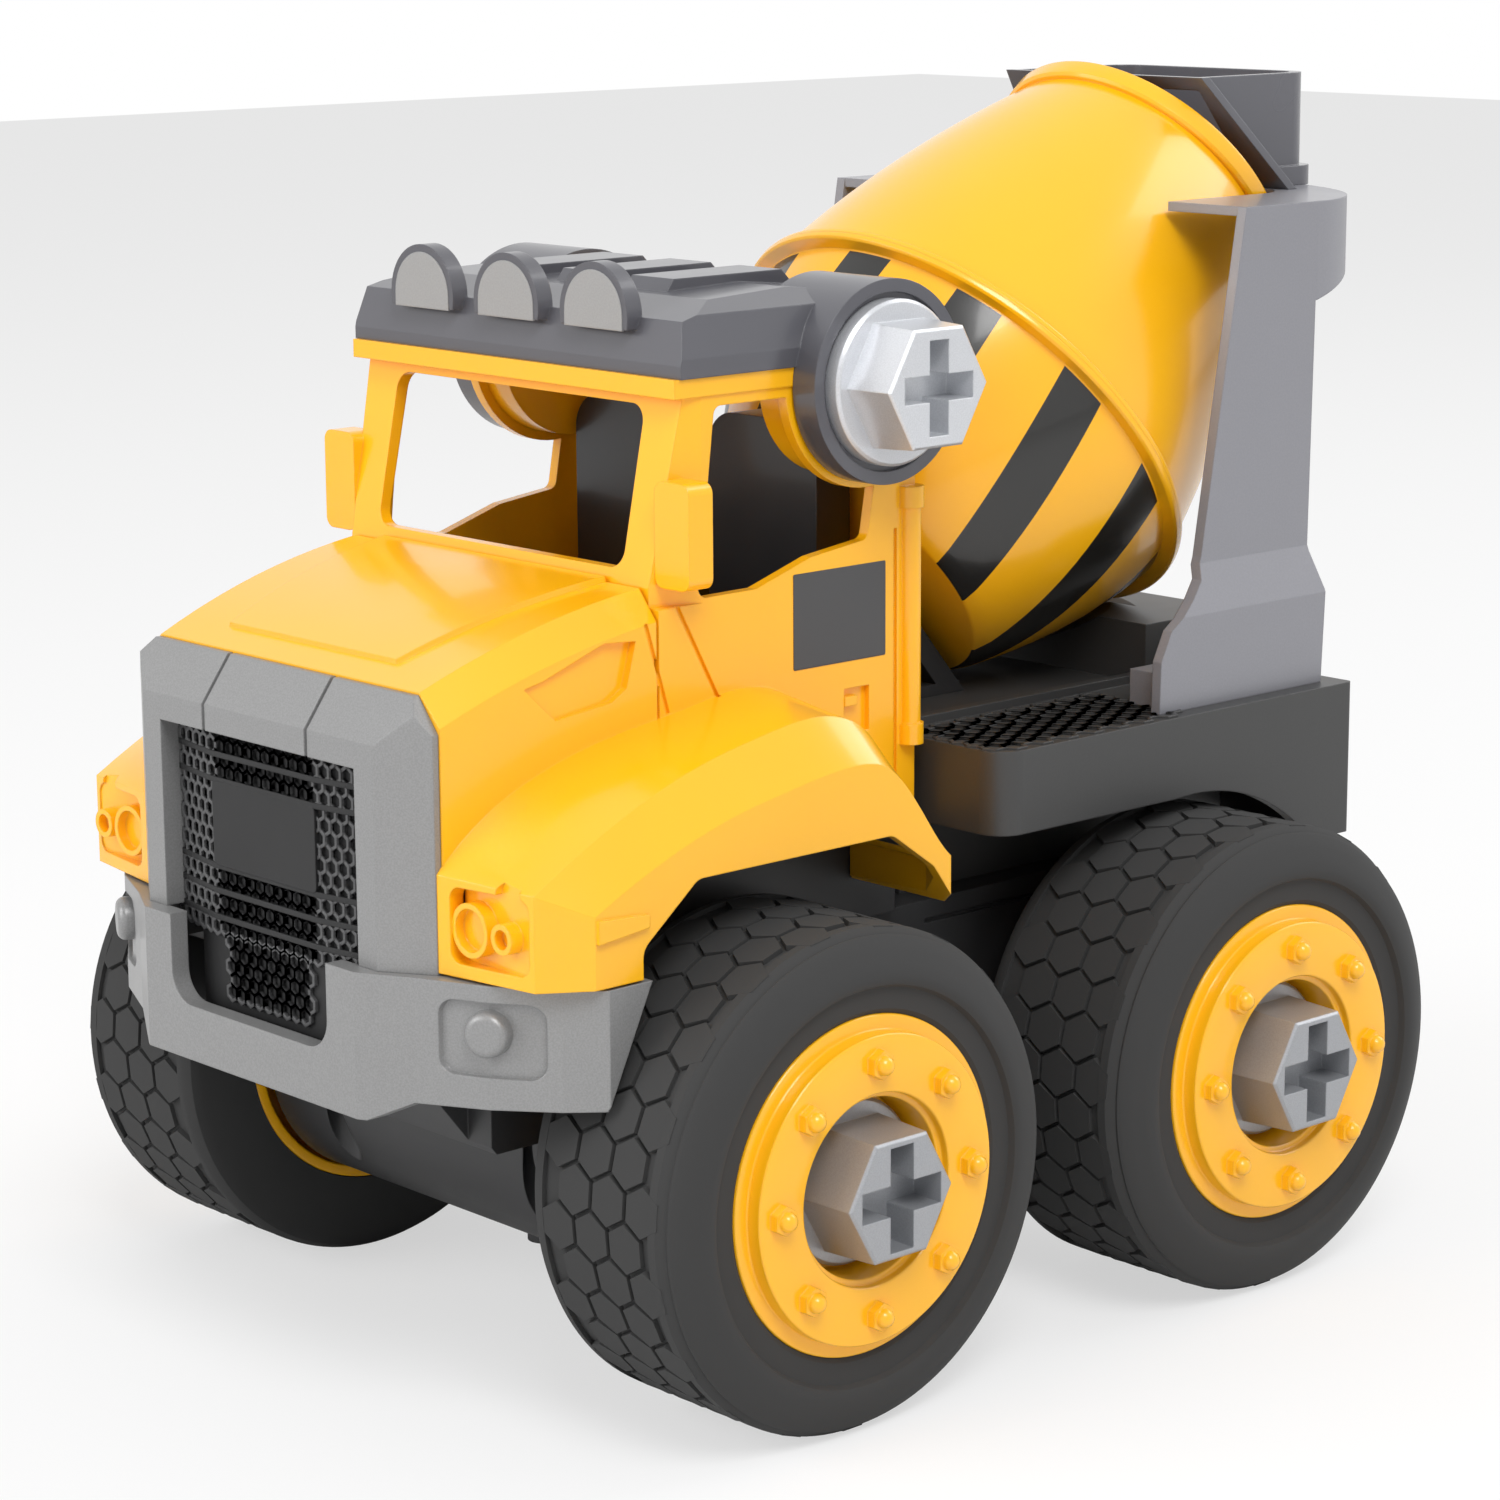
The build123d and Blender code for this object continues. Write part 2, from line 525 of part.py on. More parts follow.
def rear_deck():
    """Deck tray: top plate, side skirts arched over the rear wheels, raised rails and rear block."""
    outer = plan_prism(
        rounded_outline(
            [
                (-DECK_HALF_WIDTH, DECK_FRONT_Y),
                (DECK_HALF_WIDTH, DECK_FRONT_Y),
                (DECK_HALF_WIDTH, DECK_REAR_Y),
                (-DECK_HALF_WIDTH, DECK_REAR_Y),
            ],
            [DECK_CORNER, DECK_CORNER, 1.0, 1.0],
        ),
        DECK_TAIL_BOTTOM_Z,
        DECK_TOP_Z,
    )
    inside_half = DECK_HALF_WIDTH - WALL
    inside = block(
        -inside_half, inside_half, DECK_FRONT_Y + WALL, DECK_REAR_Y - WALL, 0, DECK_TOP_Z - WALL
    )
    deck = outer - inside
    tail_y = REAR_AXLE_Y + sqrt(DECK_ARCH_RADIUS**2 - (AXLE_Z - DECK_TAIL_BOTTOM_Z) ** 2)
    deck -= block(-70, 70, 0, REAR_AXLE_Y, 0, SKIRT_BOTTOM_Z)
    deck -= block(-70, 70, 0, tail_y, 0, DECK_TAIL_BOTTOM_Z + 1)
    for side in (-1, 1):
        inner, outer_x = sorted((side * (RISER_HALF_WIDTH + 3), side * (DECK_HALF_WIDTH + 5)))
        deck -= cross_cylinder(DECK_ARCH_RADIUS, inner, outer_x, REAR_AXLE_Y, AXLE_Z)
    riser = block(-RISER_HALF_WIDTH, RISER_HALF_WIDTH, RISER_FRONT_Y, FRAME_REAR_Y, FRAME_TOP_Z, DECK_TOP_Z - 1)
    hollow_half = RISER_HALF_WIDTH - WALL
    riser -= block(
        -hollow_half, hollow_half, RISER_FRONT_Y + WALL, FRAME_REAR_Y - WALL, FRAME_TOP_Z - 1, DECK_TOP_Z - WALL
    )
    deck += riser
    deck += block(
        -REAR_BLOCK_HALF_WIDTH,
        REAR_BLOCK_HALF_WIDTH,
        REAR_BLOCK_FRONT_Y,
        TOWER_REAR_Y,
        DECK_TOP_Z - 1,
        REAR_BLOCK_TOP_Z,
    )
    rail = block(
        RAIL_INNER_X, RAIL_INNER_X + RAIL_WIDTH, DECK_FRONT_Y + 3, REAR_BLOCK_FRONT_Y, DECK_TOP_Z - 1, DECK_TOP_Z + RAIL_HEIGHT
    )
    deck += pair(rail)
    deck -= drum_space(DRUM_AIR)
    for x, y in DECK_SCREWS:
        deck += upright_cylinder(BOSS_RADIUS, x, y, FRAME_TOP_Z, DECK_TOP_Z - 1)
        deck -= upright_cylinder(SCREW_RADIUS + SEAT_GAP, x, y, FRAME_TOP_Z - 1, FRAME_TOP_Z + SCREW_BITE + 1)
    for x, y in TOWER_SCREWS:
        deck -= upright_cylinder(SCREW_RADIUS + SEAT_GAP, x, y, DECK_TOP_Z - WALL - 1, DECK_TOP_Z + 1)
    return deck


# ---- Drum pedestal ----
def drum_pedestal():
    """Leaning bracket on the deck: an ear square to the drum axis, two gussets and a foot plate."""
    face = -DRUM_FRONT_LENGTH - EAR_GAP
    back = face - EAR_THICKNESS
    reach = (DRUM_LIP_Z - DECK_TOP_Z) / cos(radians(DRUM_TILT)) + 10
    strip = Pos(-reach / 2, 0) * Rectangle(reach, 2 * EAR_RADIUS) + Circle(EAR_RADIUS)
    ear_plane = Plane(origin=DRUM_CENTRE + DRUM_DIRECTION * back, x_dir=DRUM_PLANE.y_dir, z_dir=DRUM_DIRECTION)
    ear = extrude(ear_plane * strip, EAR_THICKNESS)
    boss = extrude(ear_plane * Circle(PIVOT_RADIUS + 3), EAR_THICKNESS + EAR_GAP - END_GAP * 2)
    centre = DRUM_CENTRE + DRUM_DIRECTION * back
    gusset_outline = [
        (centre.Y + 1, centre.Z - 1),
        (centre.Y - 7, DECK_TOP_Z + 6),
        (centre.Y - 7, DECK_TOP_Z),
        (centre.Y + 20, DECK_TOP_Z),
    ]
    pedestal = ear + boss
    for x in (-GUSSET_SPREAD, GUSSET_SPREAD):
        pedestal += side_prism(gusset_outline, x - GUSSET_THICKNESS / 2, x + GUSSET_THICKNESS / 2)
    foot_rear = centre.Y + (centre.Z - DECK_TOP_Z) * sin(radians(DRUM_TILT)) / cos(radians(DRUM_TILT)) + 4
    pedestal += block(-EAR_RADIUS, EAR_RADIUS, centre.Y - 7, foot_rear, DECK_TOP_Z, DECK_TOP_Z + WALL)
    pedestal -= block(-100, 100, -100, 200, 0, DECK_TOP_Z)
    pedestal -= drum_space(END_GAP)
    bore_plane = Plane(origin=DRUM_CENTRE, x_dir=DRUM_PLANE.y_dir, z_dir=-DRUM_DIRECTION)
    bore = extrude(bore_plane * Circle(PIVOT_RADIUS + RUNNING_GAP), DRUM_FRONT_LENGTH + EAR_GAP + EAR_THICKNESS + 20)
    return pedestal - bore


# ---- Drum ----
def drum_front():
    """Front shell: closed rim end with the pivot hole, swelling cone and half of the middle lip."""
    hole = PIVOT_RADIUS + SEAT_GAP
    end = -DRUM_FRONT_LENGTH
    half = end / 2
    outer_start = (end, DRUM_FRONT_RADIUS)
    outer_end = (-LIP_HALF_WIDTH, DRUM_MIDDLE_RADIUS - 0.5)
    outer_middle = (half, (DRUM_FRONT_RADIUS + DRUM_MIDDLE_RADIUS) / 2 + DRUM_BULGE)
    inner_start = (0, DRUM_MIDDLE_RADIUS - WALL)
    inner_end = (end + WALL, DRUM_FRONT_RADIUS - WALL)
    inner_middle = (half, outer_middle[1] - WALL * 1.1)
    profile = face_of(
        Line((end, hole), outer_start),
        ThreePointArc(outer_start, outer_middle, outer_end),
        Polyline(outer_end, (-LIP_HALF_WIDTH, LIP_RADIUS), (0, LIP_RADIUS), inner_start),
        ThreePointArc(inner_start, inner_middle, inner_end),
        Polyline(inner_end, (end + WALL, hole), (end, hole)),
    )
    return DRUM_PLANE.location * spun(profile)


def drum_rear():
    """Rear shell: half of the middle lip, long swelling cone and the ring round the open mouth."""
    outer_start = (LIP_HALF_WIDTH, DRUM_MIDDLE_RADIUS + 0.5)
    outer_end = (DRUM_REAR_LENGTH, DRUM_NECK_RADIUS)
    outer_middle = (DRUM_REAR_LENGTH / 2, (DRUM_NECK_RADIUS + DRUM_MIDDLE_RADIUS) / 2 + DRUM_BULGE)
    inner_start = (DRUM_REAR_LENGTH, DRUM_NECK_RADIUS - WALL)
    inner_end = (0, DRUM_MIDDLE_RADIUS - WALL)
    inner_middle = (DRUM_REAR_LENGTH / 2, outer_middle[1] - WALL * 1.1)
    profile = face_of(
        Polyline(inner_end, (0, LIP_RADIUS), (LIP_HALF_WIDTH, LIP_RADIUS), outer_start),
        ThreePointArc(outer_start, outer_middle, outer_end),
        Polyline(
            outer_end,
            (DRUM_REAR_LENGTH, MOUTH_RING_RADIUS),
            (MOUTH_END, MOUTH_RING_RADIUS),
            (MOUTH_END, DRUM_NECK_RADIUS - WALL),
            inner_start,
        ),
        ThreePointArc(inner_start, inner_middle, inner_end),
    )
    return DRUM_PLANE.location * spun(profile)


def drum_pivot_pin():
    """Pin held in the front shell, with its head inside the drum and its shank through the ear."""
    seat = -DRUM_FRONT_LENGTH + WALL
    tip = -DRUM_FRONT_LENGTH - EAR_GAP - EAR_THICKNESS - 1
    profile = Polygon(
        (tip, 0),
        (tip, PIVOT_RADIUS),
        (seat, PIVOT_RADIUS),
        (seat, PIVOT_HEAD_RADIUS),
        (seat + PIVOT_HEAD, PIVOT_HEAD_RADIUS),
        (seat + PIVOT_HEAD, 0),
    )
    return DRUM_PLANE.location * spun(profile)


# ---- Tower ----
def tower_side():
    """Left plate: one sheet with an S-bend, cut to a foot that narrows into a leaning post."""
    section = [
        (TOWER_FOOT_X, DECK_TOP_Z),
        (TOWER_FOOT_X, BEND_BOTTOM_Z),
        (TOWER_HALF_WIDTH, BEND_TOP_Z),
        (TOWER_HALF_WIDTH, TOWER_TOP_Z),
        (TOWER_HALF_WIDTH - WALL, TOWER_TOP_Z),
        (TOWER_HALF_WIDTH - WALL, BEND_TOP_Z - TOWER_BEND / 8),
        (TOWER_FOOT_X - WALL, BEND_BOTTOM_Z - TOWER_BEND / 8),
        (TOWER_FOOT_X - WALL, DECK_TOP_Z),
    ]
    sheet = front_prism(section, TOWER_FRONT_Y - 5, TOWER_REAR_Y + 5)
    front = TOWER_FRONT_Y
    rear = TOWER_REAR_Y
    outline = [
        (front, DECK_TOP_Z),
        (front + 0.3, DECK_TOP_Z + 8.9),
        (front + 2.8, BEND_BOTTOM_Z - 2),
        (front + 9.4, BEND_BOTTOM_Z + 2.5),
        (front + 12.7, BEND_BOTTOM_Z + 5.3),
        (front + 13.8, BEND_TOP_Z + 1),
        (front + 23.8, TOWER_TOP_Z),
        (rear, TOWER_TOP_Z),
        (rear - 1.1, BEND_TOP_Z - 1),
        (rear, BEND_BOTTOM_Z + 0.5),
        (rear - 0.8, DECK_TOP_Z),
    ]
    return sheet & side_prism(outline, 0, TOWER_FOOT_X + 5)


def yoke_plan(inset):
    """Plan of the tower's head: straight sides that end in half an ellipse."""
    half = TOWER_HALF_WIDTH - inset
    oval = Pos(0, TOWER_REAR_Y) * Ellipse(half, YOKE_DEPTH - inset)
    oval &= Pos(0, TOWER_REAR_Y + YOKE_DEPTH) * Rectangle(4 * half, 2 * YOKE_DEPTH)
    front = TOWER_FRONT_Y + 23.8
    return oval + Pos(0, (front + TOWER_REAR_Y) / 2) * Rectangle(2 * half, TOWER_REAR_Y - front)


def mouth_cut(gap):
    """Plan of the slot for the drum in the tower's top plate."""
    half = MOUTH_RING_RADIUS + gap
    mouth_y = DRUM_LIP_Y + (MOUTH_END + 2.5) * cos(radians(DRUM_TILT))
    rear = mouth_y + 2.2
    front = TOWER_FRONT_Y
    return rounded_outline([(-half, front), (half, front), (half, rear), (-half, rear)], [0.5, 0.5, 9, 9])


def drum_tower():
    tower = pair(tower_side())
    wall = plan_prism(yoke_plan(0) - yoke_plan(WALL), YOKE_SIDE_BOTTOM_Z - 5, TOWER_TOP_Z)
    wall -= block(-60, 60, TOWER_FRONT_Y, TOWER_REAR_Y - WALL, 0, 200)
    under_wall = [
        (TOWER_REAR_Y - 5, YOKE_SIDE_BOTTOM_Z - 10),
        (TOWER_REAR_Y - 5, YOKE_SIDE_BOTTOM_Z),
        (TOWER_REAR_Y, YOKE_SIDE_BOTTOM_Z),
        (YOKE_REAR_Y, YOKE_REAR_BOTTOM_Z),
        (YOKE_REAR_Y + 5, YOKE_SIDE_BOTTOM_Z - 10),
    ]
    under = side_prism(under_wall, -60, 60)
    tower += wall - under
    top = plan_prism(yoke_plan(0) - mouth_cut(3.6), TOWER_TOP_Z - TOWER_TOP_THICKNESS, TOWER_TOP_Z)
    tower += top
    cradle_at = MOUTH_END - CRADLE_FROM_MOUTH
    cradle_plane = Plane(
        origin=DRUM_CENTRE + DRUM_DIRECTION * cradle_at, x_dir=(1, 0, 0), z_dir=DRUM_DIRECTION
    )
    cradle = extrude(cradle_plane * Rectangle(3 * TOWER_HALF_WIDTH, 3 * TOWER_HALF_WIDTH), CRADLE_THICKNESS)
    cradle &= plan_prism(yoke_plan(WALL / 2), YOKE_SIDE_BOTTOM_Z, TOWER_TOP_Z - TOWER_TOP_THICKNESS / 2)
    cradle -= under
    cradle -= drum_space(END_GAP * 2)
    tower += cradle
    for x, y in TOWER_SCREWS:
        side = 1 if x > 0 else -1
        inner, outer = sorted((side * FOOT_INNER_X, side * (TOWER_FOOT_X - WALL / 2)))
        foot = block(inner, outer, y - FOOT_LENGTH / 2, y + FOOT_LENGTH / 2, DECK_TOP_Z, DECK_TOP_Z + FOOT_HEIGHT)
        tower += foot
        tower -= upright_cylinder(SCREW_RADIUS + SEAT_GAP, x, y, DECK_TOP_Z - 1, DECK_TOP_Z + FOOT_HEIGHT - 1)
    return tower


# ---- Hopper ----
def hopper():
    """Open chute on the tower: a leaning flange that faces the drum's mouth and a box behind it."""
    bottom = TOWER_TOP_Z
    top = TOWER_TOP_Z + HOPPER_HEIGHT
    face = MOUTH_END + HOPPER_GAP
    lean = sin(radians(DRUM_TILT)) / cos(radians(DRUM_TILT))
    foot_point = DRUM_CENTRE + DRUM_DIRECTION * (face + HOPPER_FLANGE)

    def flange_back_y(z):
        return foot_point.Y - (z - foot_point.Z) * lean

    rear = HOPPER_REAR_Y
    foot_half = HOPPER_HALF_WIDTH + HOPPER_FOOT
    half = HOPPER_HALF_WIDTH

    def box_plan(grow):
        points = [
            (-half - grow, flange_back_y(top)),
            (half + grow, flange_back_y(top)),
            (half + grow, rear + grow),
            (-half - grow, rear + grow),
        ]
        return rounded_outline(points, [0.5, 0.5, HOPPER_CORNER, HOPPER_CORNER])

    behind_flange = side_prism(
        [(flange_back_y(bottom), bottom), (flange_back_y(top), top), (rear + 20, top), (rear + 20, bottom)],
        -foot_half - 1,
        foot_half + 1,
    )
    box = plan_prism(box_plan(0), bottom, top)
    box += plan_prism(box_plan(HOPPER_FOOT), bottom, bottom + HOPPER_FOOT_HEIGHT)
    box &= behind_flange
    flange_plane = Plane(
        origin=DRUM_CENTRE + DRUM_DIRECTION * face, x_dir=(-1, 0, 0), z_dir=DRUM_DIRECTION
    )
    up = (top - DRUM_CENTRE.Z - DRUM_DIRECTION.Z * face) / cos(radians(DRUM_TILT))
    down = (bottom - DRUM_CENTRE.Z - DRUM_DIRECTION.Z * face) / cos(radians(DRUM_TILT))
    sign = 1 if flange_plane.y_dir.Z > 0 else -1
    flange_face = Polygon(
        (-half - 0.7, sign * up),
        (half + 0.7, sign * up),
        (half + HOPPER_FLARE, sign * (down - 2)),
        (-half - HOPPER_FLARE, sign * (down - 2)),
    )
    flange = extrude(flange_plane * flange_face, HOPPER_FLANGE, dir=DRUM_DIRECTION)
    body = flange + box
    body &= block(-60, 60, 0, 200, bottom, top)
    hollow = plan_prism(box_plan(-HOPPER_WALL), bottom + HOPPER_WALL, top + 5)
    hollow += block(
        -half + HOPPER_WALL, half - HOPPER_WALL, DRUM_LIP_Y, rear - HOPPER_CORNER * 2, bottom + HOPPER_WALL, top - 3
    )
    return body - hollow


# ---- Cab ----
def hood_section(y, half_width, side_z, crease_half, top_z, inset):
    points = [
        (-half_width + inset, HOOD_BOTTOM_Z),
        (-half_width + inset, side_z - inset / 2),
        (-crease_half + inset / 2, top_z - inset),
        (crease_half - inset / 2, top_z - inset),
        (half_width - inset, side_z - inset / 2),
        (half_width - inset, HOOD_BOTTOM_Z),
    ]
    return Pos(0, y, 0) * (Plane.XZ * Polygon(*points))


def hood(inset):
    """Bonnet: three sections that rise and widen towards the cab."""
    width = CAB_HALF_WIDTH
    sections = [
        hood_section(HOOD_FRONT_Y, width - 1.7, 112.4, 33.5, 117.2, inset),
        hood_section(HOOD_MIDDLE_Y, width - 0.7, 119.3, 35.0, 124.2, inset),
        hood_section(HOOD_REAR_Y, width, 123.5, 36.0, COWL_Z, inset),
    ]
    return loft(sections)


def hood_panel():
    """Raised centre of the bonnet, wider towards the cab."""
    shapes = []
    for y, half_width, top_z in ((-93.0, 22.5, 119.1), (HOOD_MIDDLE_Y, 25.5, 124.2), (HOOD_REAR_Y, 29.0, COWL_Z)):
        points = [(-half_width, top_z - 3), (-half_width + 1, top_z + PANEL_RISE), (half_width - 1, top_z + PANEL_RISE), (half_width, top_z - 3)]
        shapes.append(Pos(0, y, 0) * (Plane.XZ * Polygon(*points)))
    return loft(shapes)


def fender_section(x, points, inset):
    """Side-view section of a left fender at x: upright front, curved top that drops to the tail."""
    shifted = [(y + inset * slope, z - inset) for y, z, slope in points]
    top = Spline(*shifted)
    first = shifted[0]
    last = shifted[-1]
    bottom = HOOD_BOTTOM_Z - 1.0 * (inset > 0)
    rest = Polyline(last, (last[0], bottom), (first[0], bottom), first)
    return Pos(x, 0, 0) * (Plane.YZ * face_of(top, rest))


def fender(inset):
    """Left fender: inner line on the bonnet, crest, and lip, joined by ruled faces."""
    inner = [(-99.0, 90.5, 1), (-82.0, 102.6, 0), (-66.0, 107.2, 0), (-50.0, 109.6, 0), (-36.0, 110.8, 0), (-29.0, 108.0, 0), (-23.0, 101.0, -0.5), (-12.0, 84.0, -1)]
    crest = [(-96.0, 90.0, 1), (-82.0, 97.5, 0), (-62.0, 105.0, 0), (-50.0, 107.5, 0), (-36.0, 108.3, 0), (-30.0, 105.9, 0), (-24.8, 100.0, -0.5), (-12.6, 83.8, -1)]
    lip = [(-88.5, 86.5, 1), (-74.3, 93.0, 0), (-59.5, 97.6, 0), (-50.0, 99.4, 0), (-36.0, 101.2, 0), (-30.0, 100.4, 0), (-25.5, 97.0, -0.5), (-15.0, 83.6, -1)]
    inner_x = CAB_HALF_WIDTH - WALL - 3 * inset
    sections = [
        fender_section(inner_x, inner, inset),
        fender_section(FENDER_CREST_X - inset / 2, crest, inset),
        fender_section(FENDER_LIP_X - inset, lip, inset),
    ]
    return loft(sections, ruled=True)


def cab_block(inset):
    """Upright cab: side outline with a leaning windshield, narrowed in plan at the pillars."""
    half = CAB_HALF_WIDTH - inset
    rear = CAB_REAR_Y - inset
    bottom = SILL_Z - 10 * (inset > 0)
    outline = [
        (rear, bottom),
        (rear, CAB_TOP_Z - inset),
        (PILLAR_TOP_Y + inset, CAB_TOP_Z - inset),
        (PILLAR_FOOT_Y + inset, COWL_Z),
        (PILLAR_FOOT_Y + inset, bottom),
    ]
    sides = side_prism(outline, -half, half)
    plan = [
        (-half, rear + 1),
        (-half, PILLAR_FOOT_Y + PILLAR_DEPTH),
        (-half + PILLAR_INSET, PILLAR_FOOT_Y - 1),
        (half - PILLAR_INSET, PILLAR_FOOT_Y - 1),
        (half, PILLAR_FOOT_Y + PILLAR_DEPTH),
        (half, rear + 1),
    ]
    upper = sides & plan_prism(plan, COWL_Z - 4, CAB_TOP_Z + 1)
    lower = sides & block(-half, half, PILLAR_FOOT_Y - 1, rear + 1, bottom - 1, COWL_Z - 3)
    return upper + lower


def side_window():
    """Left door window, cut back round the roof bolt's boss."""
    outline = rounded_outline(
        [
            (-44.8, 155.6),
            (-8.0, 155.6),
            (-12.2, 131.3),
            (-24.5, 129.8),
            (-36.3, 126.1),
            (-48.4, 126.0),
        ],
        1.5,
    )
    outline -= Pos(ROOF_BOSS_Y, ROOF_BOSS_Z) * Circle(ROOF_BOSS_RADIUS + 1)
    return side_prism(outline, CAB_HALF_WIDTH - 12, CAB_HALF_WIDTH + 2)


def seam_line(points, x_face):
    """Thin groove along a side-view line on a left face at x_face."""
    cuts = []
    for (y0, z0), (y1, z1) in zip(points, points[1:]):
        run = Vector(0, y1 - y0, z1 - z0)
        length = run.length
        middle = Vector(x_face, (y0 + y1) / 2, (z0 + z1) / 2)
        plane = Plane(origin=middle, x_dir=run, z_dir=(1, 0, 0))
        cuts.append(plane.location * Box(length + SEAM, SEAM, 2 * SEAM_DEPTH))
    return cuts


def headlight_recess():
    """Left headlight: sunk panel with one large and one small ring."""
    panel = rounded_outline([(40.5, 77.5), (56.0, 77.5), (56.0, 89.2), (40.5, 89.2)], 2.0)
    panel += Pos(SMALL_RING[0], 89.2) * Circle(SMALL_RING[1])
    return front_prism(panel, BUMPER_FRONT_Y - 1, HEADLIGHT_FLOOR_Y)


def headlight_rings():
    rings = []
    for x, radius in (LARGE_RING, SMALL_RING):
        ring = Circle(radius) - Circle(radius - 0.9)
        rings.append(front_prism(Pos(x, RING_Z) * ring, HEADLIGHT_FLOOR_Y - 2.3, HEADLIGHT_FLOOR_Y + 0.4))
        rings.append(front_prism(Pos(x, RING_Z) * Circle(radius), HEADLIGHT_FLOOR_Y - 0.7, HEADLIGHT_FLOOR_Y + 0.4))
    return rings


def cab_shell():
    """Cab, bonnet, fenders, mirrors and corner pipes as one hollow moulding, open underneath."""
    skin = cab_block(0) + hood(0)
    skin += pair(fender(0))
    skin += hood_panel()
    inside = cab_block(WALL) + hood(WALL)
    inside += block(-33, 33, HOOD_FRONT_Y - 1, HOOD_FRONT_Y + 1, HOOD_BOTTOM_Z, 114)
    inside += pair(fender(WALL))
    lower_room = block(-CAB_HALF_WIDTH + WALL, CAB_HALF_WIDTH - WALL, PILLAR_FOOT_Y - 5, CAB_REAR_Y - WALL, SILL_Z - 12, TUB_TOP_Z)
    skin -= inside + lower_room
    rim_half = CAB_HALF_WIDTH + CAB_RIM_PROUD
    skin += block(-rim_half, rim_half, CAB_RIM_FRONT_Y, CAB_REAR_Y, CAB_TOP_Z - CAB_RIM, CAB_TOP_Z)
    for side in (1, -1):
        boss_x = sorted((side * (CAB_HALF_WIDTH - 8), side * CAB_HALF_WIDTH))
        boss = cross_cylinder(ROOF_BOSS_RADIUS - 0.6, boss_x[0], boss_x[1], ROOF_BOSS_Y, ROOF_BOSS_Z)
        skin += boss & block(-60, 60, -60, CAB_REAR_Y, 100, CAB_TOP_Z)
    arch = side_prism(front_arch(0), CAB_HALF_WIDTH - WALL - 1, FENDER_LIP_X + 1)
    skin -= pair(arch)
    skin -= block(-70, 70, -120, 20, 0, HOOD_BOTTOM_Z)
    for x, y in CAB_SCREWS:
        top = COWL_Z - 3.8 if y < PILLAR_FOOT_Y else 112.0
        skin += upright_cylinder(BOSS_RADIUS, x, y, FRAME_TOP_Z, top)
        if y > PILLAR_FOOT_Y:
            skin += block(x - 1.5, x + 1.5, y, CAB_REAR_Y, FRAME_TOP_Z, top)
        skin -= upright_cylinder(SCREW_RADIUS + SEAT_GAP, x, y, FRAME_TOP_Z - 1, FRAME_TOP_Z + SCREW_BITE + 1)
    windshield = [
        (-WINDSHIELD_HALF_WIDTH, WINDSHIELD_BOTTOM_Z),
        (WINDSHIELD_HALF_WIDTH, WINDSHIELD_BOTTOM_Z),
        (WINDSHIELD_HALF_WIDTH, WINDSHIELD_TOP_Z),
        (-WINDSHIELD_HALF_WIDTH, WINDSHIELD_TOP_Z),
    ]
    skin -= front_prism(rounded_outline(windshield, WINDOW_CORNER), PILLAR_FOOT_Y - 2, PILLAR_TOP_Y + 12)
    rear_window = [
        (-REAR_WINDOW_HALF_WIDTH, REAR_WINDOW_BOTTOM_Z),
        (REAR_WINDOW_HALF_WIDTH, REAR_WINDOW_BOTTOM_Z),
        (REAR_WINDOW_HALF_WIDTH, REAR_WINDOW_TOP_Z),
        (-REAR_WINDOW_HALF_WIDTH, REAR_WINDOW_TOP_Z),
    ]
    skin -= front_prism(rounded_outline(rear_window, WINDOW_CORNER), CAB_REAR_Y - 5, CAB_REAR_Y + 1)
    skin -= pair(side_window())
    vent = [(-82.5, 116.3), (-76.7, 110.8), (-65.9, 112.1), (-63.0, 113.9), (-61.1, 121.0), (-67.2, 121.4), (-79.2, 117.0)]
    skin -= pair(side_prism(vent, CAB_HALF_WIDTH - 0.4 - VENT_DEPTH, CAB_HALF_WIDTH + 2))
    grooves = seam_line([(-53.4, 126.6), (-44.6, 110.2)], CAB_HALF_WIDTH)
    grooves += seam_line([(-59.0, 123.0), (-54.9, 109.2)], CAB_HALF_WIDTH)
    grooves += seam_line([(-5.9, 132.0), (-5.9, 88.0)], CAB_HALF_WIDTH)
    for groove in grooves:
        skin -= pair(groove)
    handle = block(CAB_HALF_WIDTH - 1, CAB_HALF_WIDTH + 1, -17.3, -11.8, 100.2, 107.5)
    skin -= pair(handle)
    skin += pair(block(CAB_HALF_WIDTH - 2, CAB_HALF_WIDTH + 0.2, -17.3, -14.6, 104.6, 106.2))
    skin -= pair(headlight_recess())
    for ring in headlight_rings():
        skin += pair(ring)
    marker = [(-88.4, 82.4), (-88.4, 86.0), (-78.6, 85.4), (-78.6, 83.4)]
    skin += pair(side_prism(marker, FENDER_LIP_X - 1.5, FENDER_LIP_X + 0.8))
    mirror_block = block(
        CAB_HALF_WIDTH - 2,
        CAB_HALF_WIDTH - 2 + MIRROR_WIDTH,
        PILLAR_FOOT_Y + 1,
        PILLAR_FOOT_Y + 1 + MIRROR_DEPTH,
        COWL_Z + 0.2,
        COWL_Z + 0.2 + MIRROR_HEIGHT,
    )
    skin += pair(fillet(mirror_block.edges().filter_by(Axis.Y), 1.8))
    pipe_y = CAB_REAR_Y - 1.1
    pipe_bottom = DECK_TOP_Z
    pipe = upright_cylinder(PIPE_RADIUS, CAB_HALF_WIDTH, pipe_y, pipe_bottom, 139.0)
    for z in (pipe_bottom, 135.5):
        pipe += upright_cylinder(COLLAR_RADIUS, CAB_HALF_WIDTH, pipe_y, z, z + 3.5)
    skin += pair(pipe)
    thread_hole = cross_cylinder(BOLT_THREAD_RADIUS + SEAT_GAP, CAB_HALF_WIDTH - 9, CAB_HALF_WIDTH + 1, ROOF_BOSS_Y, ROOF_BOSS_Z)
    skin -= pair(thread_hole)
    return skin


